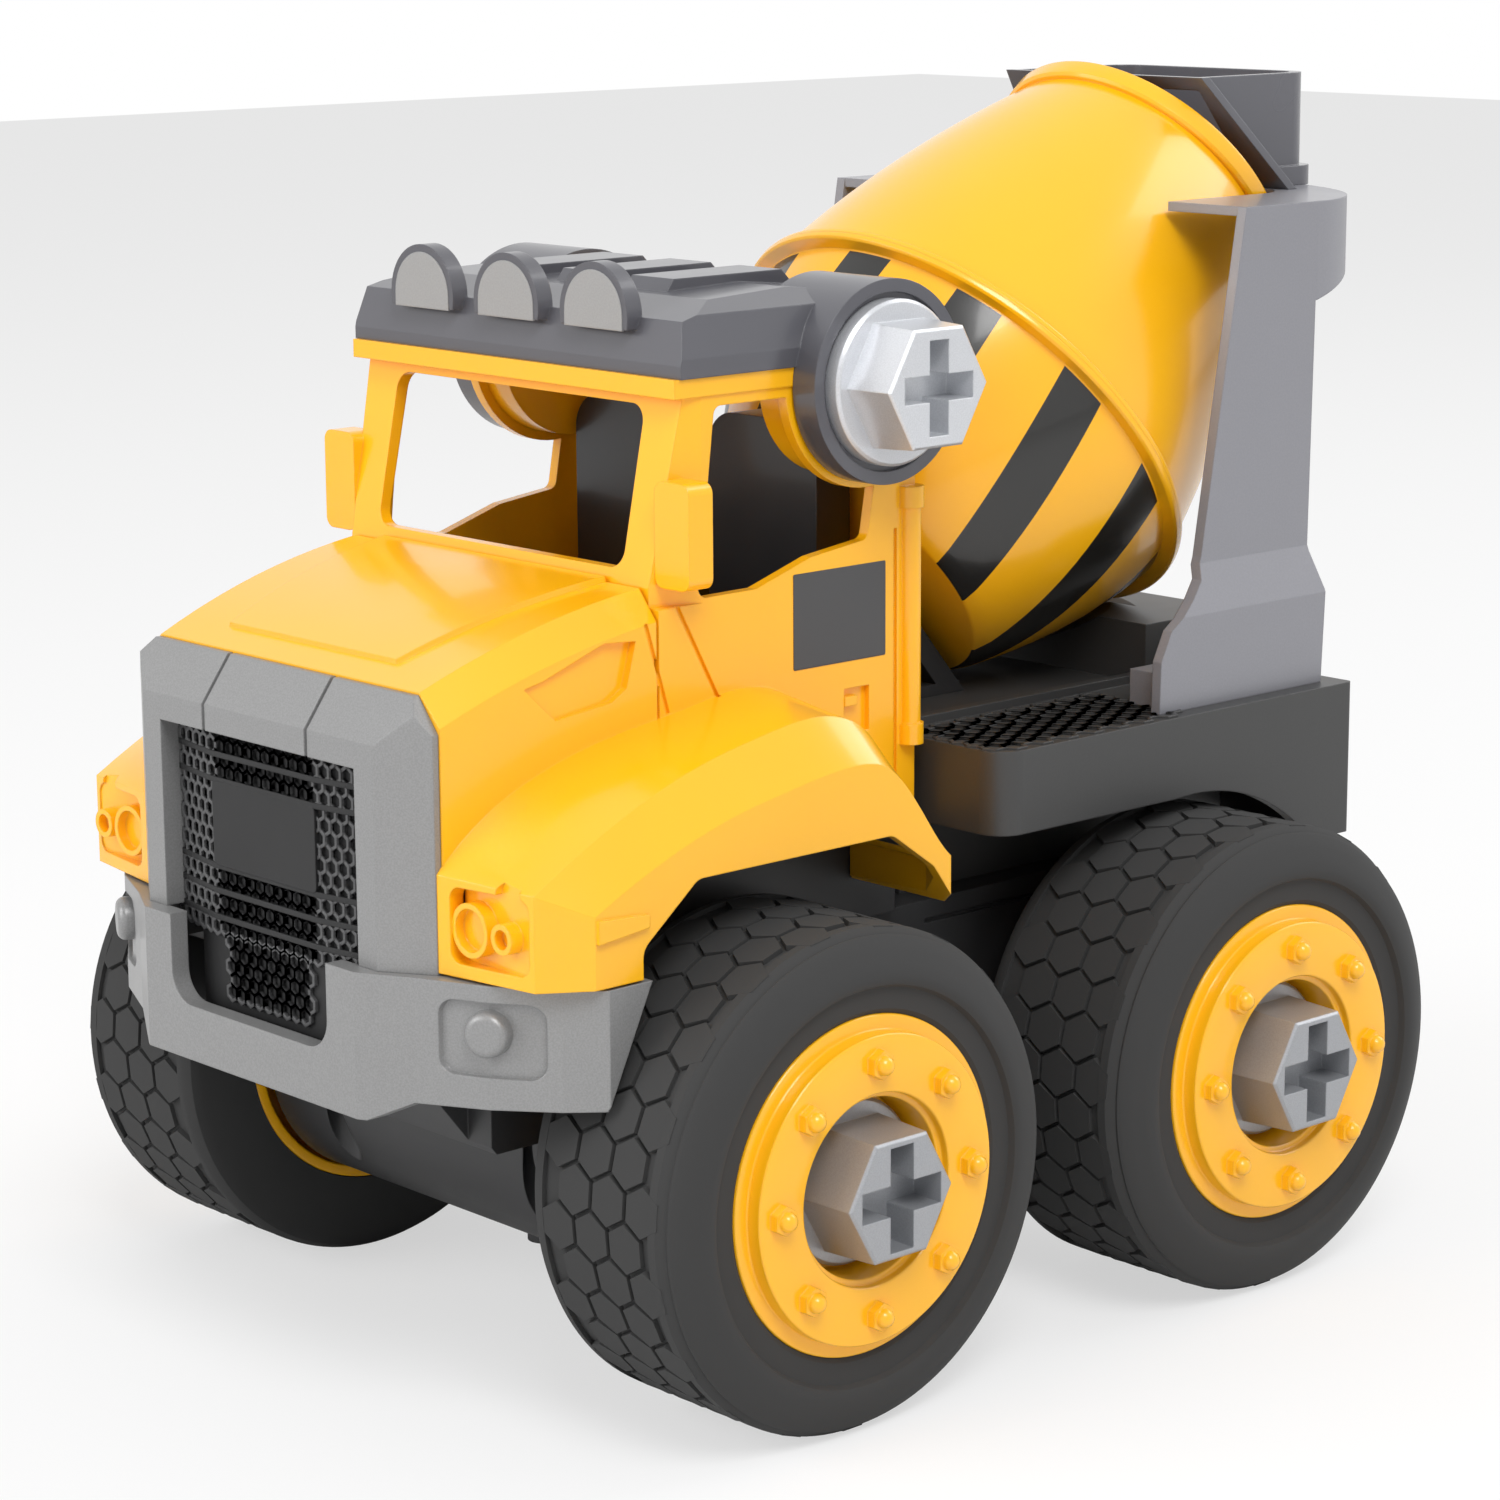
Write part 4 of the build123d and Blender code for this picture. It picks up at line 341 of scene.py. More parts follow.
@dataclass(frozen=True)
class StripedShell(Moulding):
    """Yellow plastic with slanted black bands, laid as if the cone were rolled out flat."""

    centre: tuple[float, float, float] = (0.0, 44.22, 141.13)
    tilt: float = 39.94
    from_lip: float = -36.2
    to_lip: float = -1.5
    end_radius: float = 26.7
    lip_radius: float = 42.5
    bulge: float = 2.0
    cone: float = 0.401
    apex: float = 106.2
    slant: float = 20.5
    pitch: float = 22.4
    width: float = 9.0
    seam: float = -125.0

    def colour_wire(self, board: Board, point: Wire) -> Wire:
        """Yellow under the black bands.

        Args:
            board: The material's tree.
            point: Object coordinates.

        Returns:
            The colour.
        """
        tilt = math.radians(self.tilt)
        axis = Vector((0, math.cos(tilt), math.sin(tilt)))
        up = Vector((0, -math.sin(tilt), math.cos(tilt)))
        turn = math.radians(self.seam + 180)
        side = Vector((1, 0, 0)) * math.cos(turn) + up * math.sin(turn)
        rise = up * math.cos(turn) - Vector((1, 0, 0)) * math.sin(turn)
        local = board.vector("SUBTRACT", point, tuple(value * MM for value in self.centre))
        along = board.vector("DOT_PRODUCT", local, tuple(axis), output="Value") / MM
        across = board.vector("DOT_PRODUCT", local, tuple(side), output="Value") / MM
        over = board.vector("DOT_PRODUCT", local, tuple(rise), output="Value") / MM
        radius = board.math("SQRT", across * across + over * over)
        angle = (board.math("ARCTAN2", over, across) + turn) * self.cone
        slope = (self.lip_radius - self.end_radius) / (self.to_lip - self.from_lip)
        flat = (along - self.from_lip) * slope + self.end_radius
        ray = flat / self.cone
        lean = math.radians(self.slant)
        distance = ray * board.math("SINE", angle - lean)
        band = ((distance + self.pitch * 20 + self.pitch / 2) % self.pitch - self.pitch / 2)
        mask = 1 - abs(band).above(self.width / 2, 0.12)
        inside = along.above(self.from_lip, 0.1) * (1 - along.above(self.to_lip, 0.1))
        skin = radius.above(0, 1) * (radius - flat).above(-0.8, 0.1)
        yellow = super().colour_wire(board, point)
        black = board.blend(board.noise(point, 18.0, 2.0), linear(20, 20, 19), linear(34, 33, 31))
        return board.blend(mask * inside * skin, yellow, black)


class Paint(Enum):
    """The finishes of the truck."""

    YELLOW = Moulding("yellow_gloss", (254, 184, 16), 0.24, 0.5, 0.004, mottle=0.03, coat=0.35)
    STRIPED = StripedShell("striped_gloss", (254, 184, 16), 0.24, 0.5, 0.004, mottle=0.03, coat=0.35)
    ROOF_GREY = Moulding("roof_grey_gloss", (84, 84, 90), 0.3, 0.4, 0.006, coat=0.25)
    HOPPER_GREY = Moulding("hopper_grey_gloss", (92, 92, 98), 0.26, 0.4, 0.005, coat=0.3)
    LAMP_GREY = Moulding("lamp_grey", (150, 150, 150), 0.4, 0.3, 0.006, speckle=0.08)
    SILVER_GREY = Moulding("silver_grey_grain", (138, 138, 138), 0.38, 0.28, 0.012, 0.14, 0.04, 0.1, 0.25)
    TOWER_GREY = Moulding("tower_grey_satin", (134, 134, 140), 0.34, 0.35, 0.006, 0.05, 0.04, 0.15)
    BLACK = Moulding("black_moulded", (44, 44, 45), 0.42, 0.35, 0.008, 0.06, 0.06)
    DECK = Moulding("deck_black", (58, 58, 58), 0.42, 0.35, 0.01, 0.06, 0.06)
    SEAT = Moulding("seat_black_satin", (30, 30, 32), 0.3, 0.3, 0.006, coat=0.2)
    MESH = Moulding("mesh_dark_grey", (74, 74, 75), 0.35, 0.3, 0.006)
    PIT = Moulding("pit_black", (18, 18, 19), 0.6, 0.4, 0.01)
    LABEL = Moulding("label_dark_grey", (62, 62, 64), 0.34, 0.5, 0.003, coat=0.2)
    RUBBER = Moulding("tyre_rubber", (44, 44, 45), 0.46, 0.6, 0.012, 0.1, 0.08)
    ROOF_BOLT = Moulding("bolt_bright_silver", (206, 208, 212), 0.3, 0.22, 0.01, 0.1, 0.03, 0.1, 0.45)
    WHEEL_BOLT = Moulding("bolt_silver_grey", (158, 160, 164), 0.34, 0.22, 0.01, 0.12, 0.03, 0.1, 0.45)
    STEEL = Moulding("screw_zinc", (176, 178, 182), 0.28, 0.4, 0.01, 0.05, 0.05, 0.0, 0.9)

    @property
    def material(self) -> bpy.types.Material:
        """The finish's material."""
        return self.value.material()


# ---- Meshes ----
def softened(points: Profile, radius: float, steps: int = 3) -> Profile:
    """Rounds every corner of a closed outline.

    Args:
        points: The corners.
        radius: How far from a corner its curve starts.
        steps: How many pieces the curve has.

    Returns:
        The rounded outline.
    """
    result: Profile = []
    for index, here in enumerate(points):
        corner = Vector(here)
        before = Vector(points[index - 1]) - corner
        after = Vector(points[(index + 1) % len(points)]) - corner
        reach = min(radius, before.length * 0.45, after.length * 0.45)
        start = corner + before.normalized() * reach
        end = corner + after.normalized() * reach
        for step in range(steps + 1):
            share = step / steps
            bend = start.lerp(corner, share).lerp(corner.lerp(end, share), share)
            result.append((bend.x, bend.y))
    return result


def finished(name: str, mesh: bpy.types.Mesh, paint: Paint, angle: float = 35.0) -> bpy.types.Object:
    """Turns a mesh into a shaded object with one finish.

    Args:
        name: The object's name.
        mesh: Its mesh, in place and in metres.
        paint: Its finish.
        angle: Edges sharper than this stay sharp, in degrees.

    Returns:
        The object.
    """
    mesh.materials.clear()
    mesh.materials.append(paint.material)
    mesh.shade_smooth()
    mesh.set_sharp_from_angle(angle=math.radians(angle))
    made = bpy.data.objects.new(name, mesh)
    bpy.context.scene.collection.objects.link(made)
    return made


def solid_from(name: str, points: Sequence[Vector], faces: Sequence[Sequence[int]]) -> bpy.types.Mesh:
    """Makes a mesh whose faces point outwards.

    Args:
        name: The mesh's name.
        points: Its corners, in metres.
        faces: Corner numbers of each face.

    Returns:
        The mesh.
    """
    import bmesh

    mesh = bpy.data.meshes.new(name)
    mesh.from_pydata([tuple(point) for point in points], [], [list(face) for face in faces])
    work = bmesh.new()
    work.from_mesh(mesh)
    bmesh.ops.remove_doubles(work, verts=work.verts, dist=1e-7)
    bmesh.ops.recalc_face_normals(work, faces=work.faces)
    work.to_mesh(mesh)
    work.free()
    return mesh


def spun(name: str, outline: Profile, place: Matrix, turns: int) -> bpy.types.Mesh:
    """Turns a closed outline of (along, radius) points about the X axis of a place.

    Args:
        name: The mesh's name.
        outline: The outline, in millimetres.
        place: Where the axis lies; X is the axis and the units are metres.
        turns: How many facets go round.

    Returns:
        The mesh.
    """
    points: list[Vector] = []
    faces: list[list[int]] = []
    count = len(outline)
    for turn in range(turns):
        angle = math.tau * turn / turns
        for along, radius in outline:
            spot = Vector((along, radius * math.cos(angle), radius * math.sin(angle))) * MM
            points.append(place @ spot)
    for turn in range(turns):
        first, second = turn * count, (turn + 1) % turns * count
        for index in range(count):
            after = (index + 1) % count
            faces.append([first + index, first + after, second + after, second + index])
    return solid_from(name, points, faces)


def slab(name: str, outline: Sequence[Vector], thickness: Vector) -> bpy.types.Mesh:
    """Gives a flat outline a thickness.

    Args:
        name: The mesh's name.
        outline: Corners in order, in millimetres.
        thickness: How far the far face lies from the outline, in millimetres.

    Returns:
        The mesh.
    """
    count = len(outline)
    points = [point * MM for point in outline] + [(point + thickness) * MM for point in outline]
    faces: list[list[int]] = [list(range(count)), list(range(count, 2 * count))]
    for index in range(count):
        after = (index + 1) % count
        faces.append([index, after, count + after, count + index])
    return solid_from(name, points, faces)


def joined(name: str, pieces: Sequence[bpy.types.Mesh]) -> bpy.types.Mesh:
    """Puts several meshes into one.

    Args:
        name: The new mesh's name.
        pieces: The meshes, which are removed.

    Returns:
        The joined mesh.
    """
    import bmesh

    work = bmesh.new()
    for piece in pieces:
        work.from_mesh(piece)
        bpy.data.meshes.remove(piece)
    mesh = bpy.data.meshes.new(name)
    work.to_mesh(mesh)
    work.free()
    return mesh


def wheel_place(side: int, axle_y: float, axle_z: float) -> Matrix:
    """Where a wheel's own X axis lies, pointing outwards.

    Args:
        side: 1 for the left side and -1 for the right.
        axle_y: The axle's place along the truck, in millimetres.
        axle_z: The axle's height, in millimetres.

    Returns:
        The place, in metres.
    """
    spot = Matrix.Translation(Vector((0, axle_y, axle_z)) * MM)
    return spot if side > 0 else spot @ Matrix.Rotation(math.pi, 4, "Z")


# ---- Shapes that repeat ----
class Recipe(Board):
    """A geometry node tree with named inputs for its sizes."""

    def __init__(self, name: str) -> None:
        """Starts an empty tree with one geometry output."""
        super().__init__(bpy.data.node_groups.new(name, "GeometryNodeTree"))
        self.tree.interface.new_socket("Geometry", in_out="OUTPUT", socket_type="NodeSocketGeometry")
        self.source = self.node("NodeGroupInput")
        self.sizes: dict[str, str] = {}
        self.values: dict[str, Any] = {}

    def size(self, name: str, value: Union[int, float]) -> Wire:
        """Adds a named input.

        Args:
            name: The input's name.
            value: Its value; whole numbers make a count.

        Returns:
            The input as a wire.
        """
        kind = "NodeSocketInt" if isinstance(value, int) else "NodeSocketFloat"
        socket = self.tree.interface.new_socket(name, in_out="INPUT", socket_type=kind)
        self.sizes[name] = socket.identifier
        self.values[name] = value
        return Wire(self, self.source.outputs[name])

    def spot(self, x: Number, y: Number, z: Number) -> Wire:
        """Joins three numbers into a vector."""
        return self.wire("ShaderNodeCombineXYZ", None, {0: x, 1: y, 2: z})

    def moved(self, shape: Wire, place: Any = (0, 0, 0), turn: Any = (0, 0, 0), scale: Any = (1, 1, 1)) -> Wire:
        """Moves, turns and scales a shape.

        Args:
            shape: The geometry.
            place: How far it moves.
            turn: How far it turns about each axis, in radians.
            scale: How much it grows along each axis.

        Returns:
            The moved geometry.
        """
        inputs = {"Geometry": shape, "Translation": place, "Rotation": turn, "Scale": scale}
        return self.wire("GeometryNodeTransform", None, inputs)

    def copies(self, count: Number, place: Wire, turn: Wire, shape: Wire) -> Wire:
        """Puts a copy of a shape on each of several points.

        Args:
            count: How many points there are.
            place: Each point's place.
            turn: Each copy's turn, in radians.
            shape: The geometry that is copied.

        Returns:
            The copies, as instances.
        """
        points = self.wire("GeometryNodePoints", None, {"Count": count, "Position": place})
        turned = self.wire("FunctionNodeEulerToRotation", None, {0: turn})
        return self.wire(
            "GeometryNodeInstanceOnPoints", None, {"Points": points, "Instance": shape, "Rotation": turned}
        )

    def mesh(self, name: str, shape: Wire, paint: Paint) -> bpy.types.Mesh:
        """Ends the tree, runs it, and gives its result as a plain mesh.

        Args:
            name: The mesh's name.
            shape: The geometry that the tree makes.
            paint: The finish that the tree sets.

        Returns:
            The mesh.
        """
        real = self.wire("GeometryNodeRealizeInstances", None, {"Geometry": shape})
        dressed = self.wire("GeometryNodeSetMaterial", None, {"Geometry": real, "Material": paint.material})
        sink = self.node("NodeGroupOutput")
        self.tree.links.new(dressed.socket, sink.inputs[0])
        carrier = bpy.data.objects.new(name + "_carrier", bpy.data.meshes.new(name + "_carrier"))
        bpy.context.scene.collection.objects.link(carrier)
        modifier = carrier.modifiers.new("recipe", "NODES")
        modifier.node_group = self.tree
        for label, identifier in self.sizes.items():
            modifier[identifier] = self.values[label]
        graph = bpy.context.evaluated_depsgraph_get()
        graph.update()
        mesh = bpy.data.meshes.new_from_object(carrier.evaluated_get(graph), depsgraph=graph)
        mesh.name = name
        carrier.modifiers.clear()
        bpy.data.objects.remove(carrier)
        return mesh


@dataclass(frozen=True)
class Honeycomb:
    """Raised six-sided mesh on a flat or swept-back face."""

    columns: int
    rows: int
    pitch: float
    wall: float
    height: float
    bend_from: float = 1000.0
    bend_slope: float = 0.0

    def mesh(self, name: str, paint: Paint, place: Matrix) -> bpy.types.Mesh:
        """Builds the mesh in its own plane and then puts it in place.

        Args:
            name: The mesh's name.
            paint: Its finish.
            place: Where its plane's origin lies; Z stands proud.

        Returns:
            The mesh.
        """
        recipe = Recipe(name)
        columns = recipe.size("Columns", self.columns)
        rows = recipe.size("Rows", self.rows)
        pitch = recipe.size("Pitch", self.pitch * MM)
        wall = recipe.size("Wall", self.wall * MM)
        height = recipe.size("Height", self.height * MM)
        bend_from = recipe.size("Bend from", self.bend_from * MM)
        bend_slope = recipe.size("Bend slope", self.bend_slope)
        index = recipe.wire("GeometryNodeInputIndex")
        column = index % columns
        row = recipe.math("FLOOR", index / columns)
        x = (column + (row % 2) * 0.5 - (columns - 0.5) / 2) * pitch
        y = (row - (rows - 1) / 2) * pitch * math.cos(math.pi / 6)
        sunk = recipe.math("MAXIMUM", abs(x) - bend_from, 0.0) * bend_slope
        ring = recipe.wire(
            "GeometryNodeCurvePrimitiveCircle", {"mode": "RADIUS"}, {"Resolution": 6, "Radius": pitch / math.sqrt(3)}
        )
        ring = recipe.moved(ring, turn=(0, 0, math.pi / 6))
        bar = recipe.wire("GeometryNodeCurvePrimitiveQuadrilateral", None, {"Width": wall, "Height": height})
        cell = recipe.wire("GeometryNodeCurveToMesh", None, {"Curve": ring, "Profile Curve": bar})
        cells = recipe.copies(columns * rows, recipe.spot(x, y, 0 - sunk), recipe.spot(0, 0, 0), cell)
        mesh = recipe.mesh(name, cells, paint)
        mesh.transform(place)
        return mesh


@dataclass(frozen=True)
class Tread:
    """Six-sided rubber blocks round a tyre, parted by narrow grooves."""

    blocks_round: int = 38
    blocks_across: int = 3
    pitch: float = 7.7
    groove: float = 0.62
    first_x: float = 51.6
    top_radius: float = 39.82
    depth: float = 1.5

    def mesh(self, name: str, place: Matrix) -> bpy.types.Mesh:
        """Builds the blocks about a wheel's axle.

        Args:
            name: The mesh's name.
            place: The wheel's place.

        Returns:
            The mesh.
        """
        recipe = Recipe(name)
        around = recipe.size("Blocks round", self.blocks_round)
        across = recipe.size("Blocks across", self.blocks_across)
        pitch = recipe.size("Pitch", self.pitch * MM)
        groove = recipe.size("Groove", self.groove * MM)
        first = recipe.size("First block", self.first_x * MM)
        top = recipe.size("Top radius", self.top_radius * MM)
        depth = recipe.size("Depth", self.depth * MM)
        index = recipe.wire("GeometryNodeInputIndex")
        column = index % across
        row = recipe.math("FLOOR", index / across)
        x = first + (column + (row % 2) * 0.5) * pitch
        angle = row / around * math.tau
        base = recipe.math("SUBTRACT", top, depth)
        out_y = 0 - recipe.math("SINE", angle) * base
        out_z = recipe.math("COSINE", angle) * base
        corner = (pitch - groove) / math.sqrt(3)
        block = recipe.wire(
            "GeometryNodeMeshCone",
            {"fill_type": "NGON"},
            {"Vertices": 6, "Radius Bottom": corner, "Radius Top": corner - 0.14 * MM, "Depth": depth},
        )
        block = recipe.moved(block, turn=(0, 0, math.pi / 6))
        blocks = recipe.copies(around * across, recipe.spot(x, out_y, out_z), recipe.spot(angle, 0, 0), block)
        mesh = recipe.mesh(name, blocks, Paint.RUBBER)
        mesh.transform(place)
        return mesh


@dataclass(frozen=True)
class NutRing:
    """Acorn nuts round a rim's face."""

    nuts: int = 8
    circle: float = 20.0
    flats: float = 4.3
    base_height: float = 1.5
    dome_radius: float = 1.62
    face_x: float = 79.7

    def mesh(self, name: str, place: Matrix) -> bpy.types.Mesh:
        """Builds the nuts about a wheel's axle.

        Args:
            name: The mesh's name.
            place: The wheel's place.

        Returns:
            The mesh.
        """
        recipe = Recipe(name)
        nuts = recipe.size("Nuts", self.nuts)
        circle = recipe.size("Circle", self.circle * MM)
        flats = recipe.size("Flats", self.flats * MM)
        base_height = recipe.size("Base height", self.base_height * MM)
        dome = recipe.size("Dome", self.dome_radius * MM)
        face = recipe.size("Face", self.face_x * MM)
        index = recipe.wire("GeometryNodeInputIndex")
        angle = index / nuts * math.tau
        corner = flats / math.sqrt(3)
        base = recipe.wire(
            "GeometryNodeMeshCone",
            {"fill_type": "NGON"},
            {"Vertices": 6, "Radius Bottom": corner, "Radius Top": corner * 0.94, "Depth": base_height},
        )
        ball = recipe.wire("GeometryNodeMeshUVSphere", None, {"Segments": 14, "Rings": 8, "Radius": dome})
        ball = recipe.moved(ball, place=recipe.spot(0, 0, base_height))
        both = recipe.node("GeometryNodeJoinGeometry")
        for part in (base, ball):
            self_socket = both.inputs[0]
            recipe.tree.links.new(part.socket, self_socket)
        nut = recipe.moved(Wire(recipe, both.outputs[0]), turn=(0, math.pi / 2, 0))
        y = recipe.math("SINE", angle) * circle
        z = recipe.math("COSINE", angle) * circle
        ring = recipe.copies(nuts, recipe.spot(face, y, z), recipe.spot(0, 0, 0), nut)
        mesh = recipe.mesh(name, ring, Paint.YELLOW)
        mesh.transform(place)
        return mesh


# ---- Sub-assemblies ----
@dataclass
class Carried:
    """The frame's own parts that keep their shape and get a finish."""

    coats: dict[str, Paint] = field(
        default_factory=lambda: {
            "chassis_frame": Paint.BLACK,
            "cab_shell": Paint.YELLOW,
            "cab_interior": Paint.SEAT,
            "cab_roof": Paint.ROOF_GREY,
            "front_bumper": Paint.SILVER_GREY,
            "grille_frame": Paint.SILVER_GREY,
            "rear_deck": Paint.DECK,
            "drum_pedestal": Paint.BLACK,
            "drum_tower": Paint.TOWER_GREY,
            "hopper": Paint.HOPPER_GREY,
            "drum_pivot_pin": Paint.BLACK,
            "cab_screws": Paint.STEEL,
            "deck_screws": Paint.STEEL,
            "tower_screws": Paint.STEEL,
            "roof_bolt_left": Paint.ROOF_BOLT,
            "roof_bolt_right": Paint.ROOF_BOLT,
        }
    )

    def build(self) -> None:
        """Gives every part its finish."""
        for place in ("front_left", "front_right", "rear_left", "rear_right"):
            self.coats["wheel_bolt_" + place] = Paint.WHEEL_BOLT
        for name, paint in self.coats.items():
            for slot in frame["nodes"][name].material_slots:
                slot.material = paint.material
            LOG.info("finished %s", name)


@dataclass
class Wheels:
    """Four tyres with block tread and their rims with acorn nuts."""

    wheelbase: float = 96.6
    axle_z: float = 40.0
    inner_x: float = 44.7
    tread_from: float = 48.2
    tread_to: float = 72.4
    groove_radius: float = 39.1
    shoulder_radius: float = 39.9
    facets: int = 128
    tread: Tread = field(default_factory=Tread)
    nuts: NutRing = field(default_factory=NutRing)

    def tyre_outline(self) -> Profile:
        """Section of a tyre from its inner edge over the tread to the rim."""
        wall = [
            (self.tread_to + 1.6, 39.86),
            (self.tread_to + 2.5, 39.2),
            (self.tread_to + 2.9, 38.75),
            (self.tread_to + 3.3, 38.85),
            (self.tread_to + 3.8, 38.5),
            (77.2, 36.6),
            (78.1, 34.8),
            (78.5, 33.2),
            (78.5, 32.2),
            (78.2, 31.5),
            (77.25, 31.0),
            (77.1, 30.4),
            (77.1, 27.6),
            (76.6, 26.85),
        ]
        return [
            (self.inner_x, 26.85),
            (self.inner_x, 37.4),
            (self.inner_x + 0.7, 39.0),
            (self.inner_x + 2.2, 39.85),
            (self.tread_from, self.shoulder_radius),
            (self.tread_from, self.groove_radius),
            (self.tread_to, self.groove_radius),
            (self.tread_to, self.shoulder_radius),
        ] + wall

    def rim_outline(self) -> Profile:
        """Section of a rim: tyre seat, face ring, stepped pocket, hub and hollow back."""
        face = [(77.1, 26.8), (77.1, 24.4), (79.8, 24.4), (79.8, 15.2), (78.3, 15.2), (78.3, 14.2)]
        back = [(70.8, 14.2), (70.8, 8.05), (43.3, 8.05), (43.3, 12.0), (63.8, 12.0), (63.8, 24.8)]
        return softened(face + back + [(44.75, 24.8), (44.75, 26.8)], 0.45)

    def build(self) -> None:
        """Builds and dresses the four wheels."""
        for end, direction in (("front", -1), ("rear", 1)):
            for hand, side in (("left", 1), ("right", -1)):
                label = f"{end}_{hand}"
                axle_y = direction * self.wheelbase / 2 - CENTRE_Y
                place = wheel_place(side, axle_y, self.axle_z)
                self.dress(label, place)
                LOG.info("built wheel %s", label)

    def dress(self, label: str, place: Matrix) -> None:
        """Builds one wheel's tyre and rim.

        Args:
            label: The wheel's place in words.
            place: The wheel's place.
        """
        body = "wheel_" + label
        carcass = spun("carcass", self.tyre_outline(), place, self.facets)
        blocks = self.tread.mesh(f"tread_{label}", place)
        tyre = finished(f"tyre_dressed_{label}", joined("tyre", [carcass, blocks]), Paint.RUBBER, 32.0)
        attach(tyre, body)
        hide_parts("tyre_" + label)
        disc = spun("disc", self.rim_outline(), place, self.facets)
        nuts = self.nuts.mesh(f"nuts_{label}", place)
        rim = finished(f"rim_dressed_{label}", joined("rim", [disc, nuts]), Paint.YELLOW, 32.0)
        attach(rim, body)
        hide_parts("rim_" + label)


@dataclass
class Drum:
    """Two turned shells that meet in a lip, the front one striped."""

    centre: tuple[float, float, float] = (0.0, 44.22, 141.13)
    tilt: float = 39.94
    front_length: float = 36.3
    rear_length: float = 58.0
    front_radius: float = 26.7
    middle_radius: float = 43.0
    neck_radius: float = 27.5
    bulge: float = 2.0
    lip_radius: float = 45.24
    lip_half: float = 1.2
    wall: float = 2.0
    ring_radius: float = 28.7
    ring_length: float = 3.7
    pin_radius: float = 5.05
    facets: int = 160

    def place(self) -> Matrix:
        """Where the drum's axis lies, as an X axis."""
        turn = Matrix.Rotation(-math.radians(self.tilt), 4, "Y")
        quarter = Matrix.Rotation(math.pi / 2, 4, "Z")
        return Matrix.Translation(Vector(self.centre) * MM) @ quarter @ turn

    def arc(self, start: tuple[float, float], end: tuple[float, float], rise: float, steps: int = 14) -> Profile:
        """A swelling line from start to end.

        Args:
            start: First (along, radius) point.
            end: Last point.
            rise: How far its middle stands above the straight line.
            steps: How many pieces it has.

        Returns:
            The points.
        """
        line: Profile = []
        for step in range(steps + 1):
            share = step / steps
            along = start[0] + (end[0] - start[0]) * share
            radius = start[1] + (end[1] - start[1]) * share + rise * 4 * share * (1 - share)
            line.append((along, radius))
        return line

    def front_outline(self) -> Profile:
        """Section of the front shell."""
        end = -self.front_length
        outer = self.arc((end, self.front_radius), (-self.lip_half, self.middle_radius - 0.5), self.bulge)
        inner_rise = self.bulge - self.wall * 0.1
        inner = self.arc(
            (0, self.middle_radius - self.wall), (end + self.wall, self.front_radius - self.wall), inner_rise
        )
        lip = self.lip_radius
        edge = [(-self.lip_half, lip - 0.5), (-self.lip_half + 0.35, lip - 0.1), (-self.lip_half + 0.8, lip), (0, lip)]
        close = [(end + self.wall, self.pin_radius), (end, self.pin_radius), (end, self.front_radius - 0.8)]
        outer[0] = (end + 0.35, self.front_radius - 0.12)
        return outer + edge + inner + close

    def rear_outline(self) -> Profile:
        """Section of the rear shell and the ring round its mouth."""
        far = self.rear_length
        outer = self.arc((self.lip_half, self.middle_radius + 0.5), (far, self.neck_radius), self.bulge)
        inner = self.arc((far, self.neck_radius - self.wall), (0, self.middle_radius - self.wall), self.bulge - 0.2)
        ring = self.ring_radius
        end = far + self.ring_length
        mouth = [(far, ring - 0.5), (far + 0.5, ring), (end - 0.7, ring), (end - 0.2, ring - 0.2), (end, ring - 0.7)]
        mouth += [(end, self.neck_radius - self.wall + 0.5), (end - 0.5, self.neck_radius - self.wall)]
        lip = self.lip_radius
        edge = [(0, lip), (self.lip_half - 0.8, lip), (self.lip_half - 0.35, lip - 0.1), (self.lip_half, lip - 0.5)]
        return edge + outer + mouth + inner

    def build(self) -> None:
        """Builds and dresses both shells."""
        place = self.place()
        for name, outline, paint, slot in (
            ("drum_front", self.front_outline(), Paint.STRIPED, "striped_plastic"),
            ("drum_rear", self.rear_outline(), Paint.YELLOW, "yellow_plastic"),
        ):
            shell = finished(name + "_dressed", spun(name + "_shell", outline, place, self.facets), paint, 30.0)
            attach(shell, "drum")
            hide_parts(name)
            LOG.info("built %s", name)


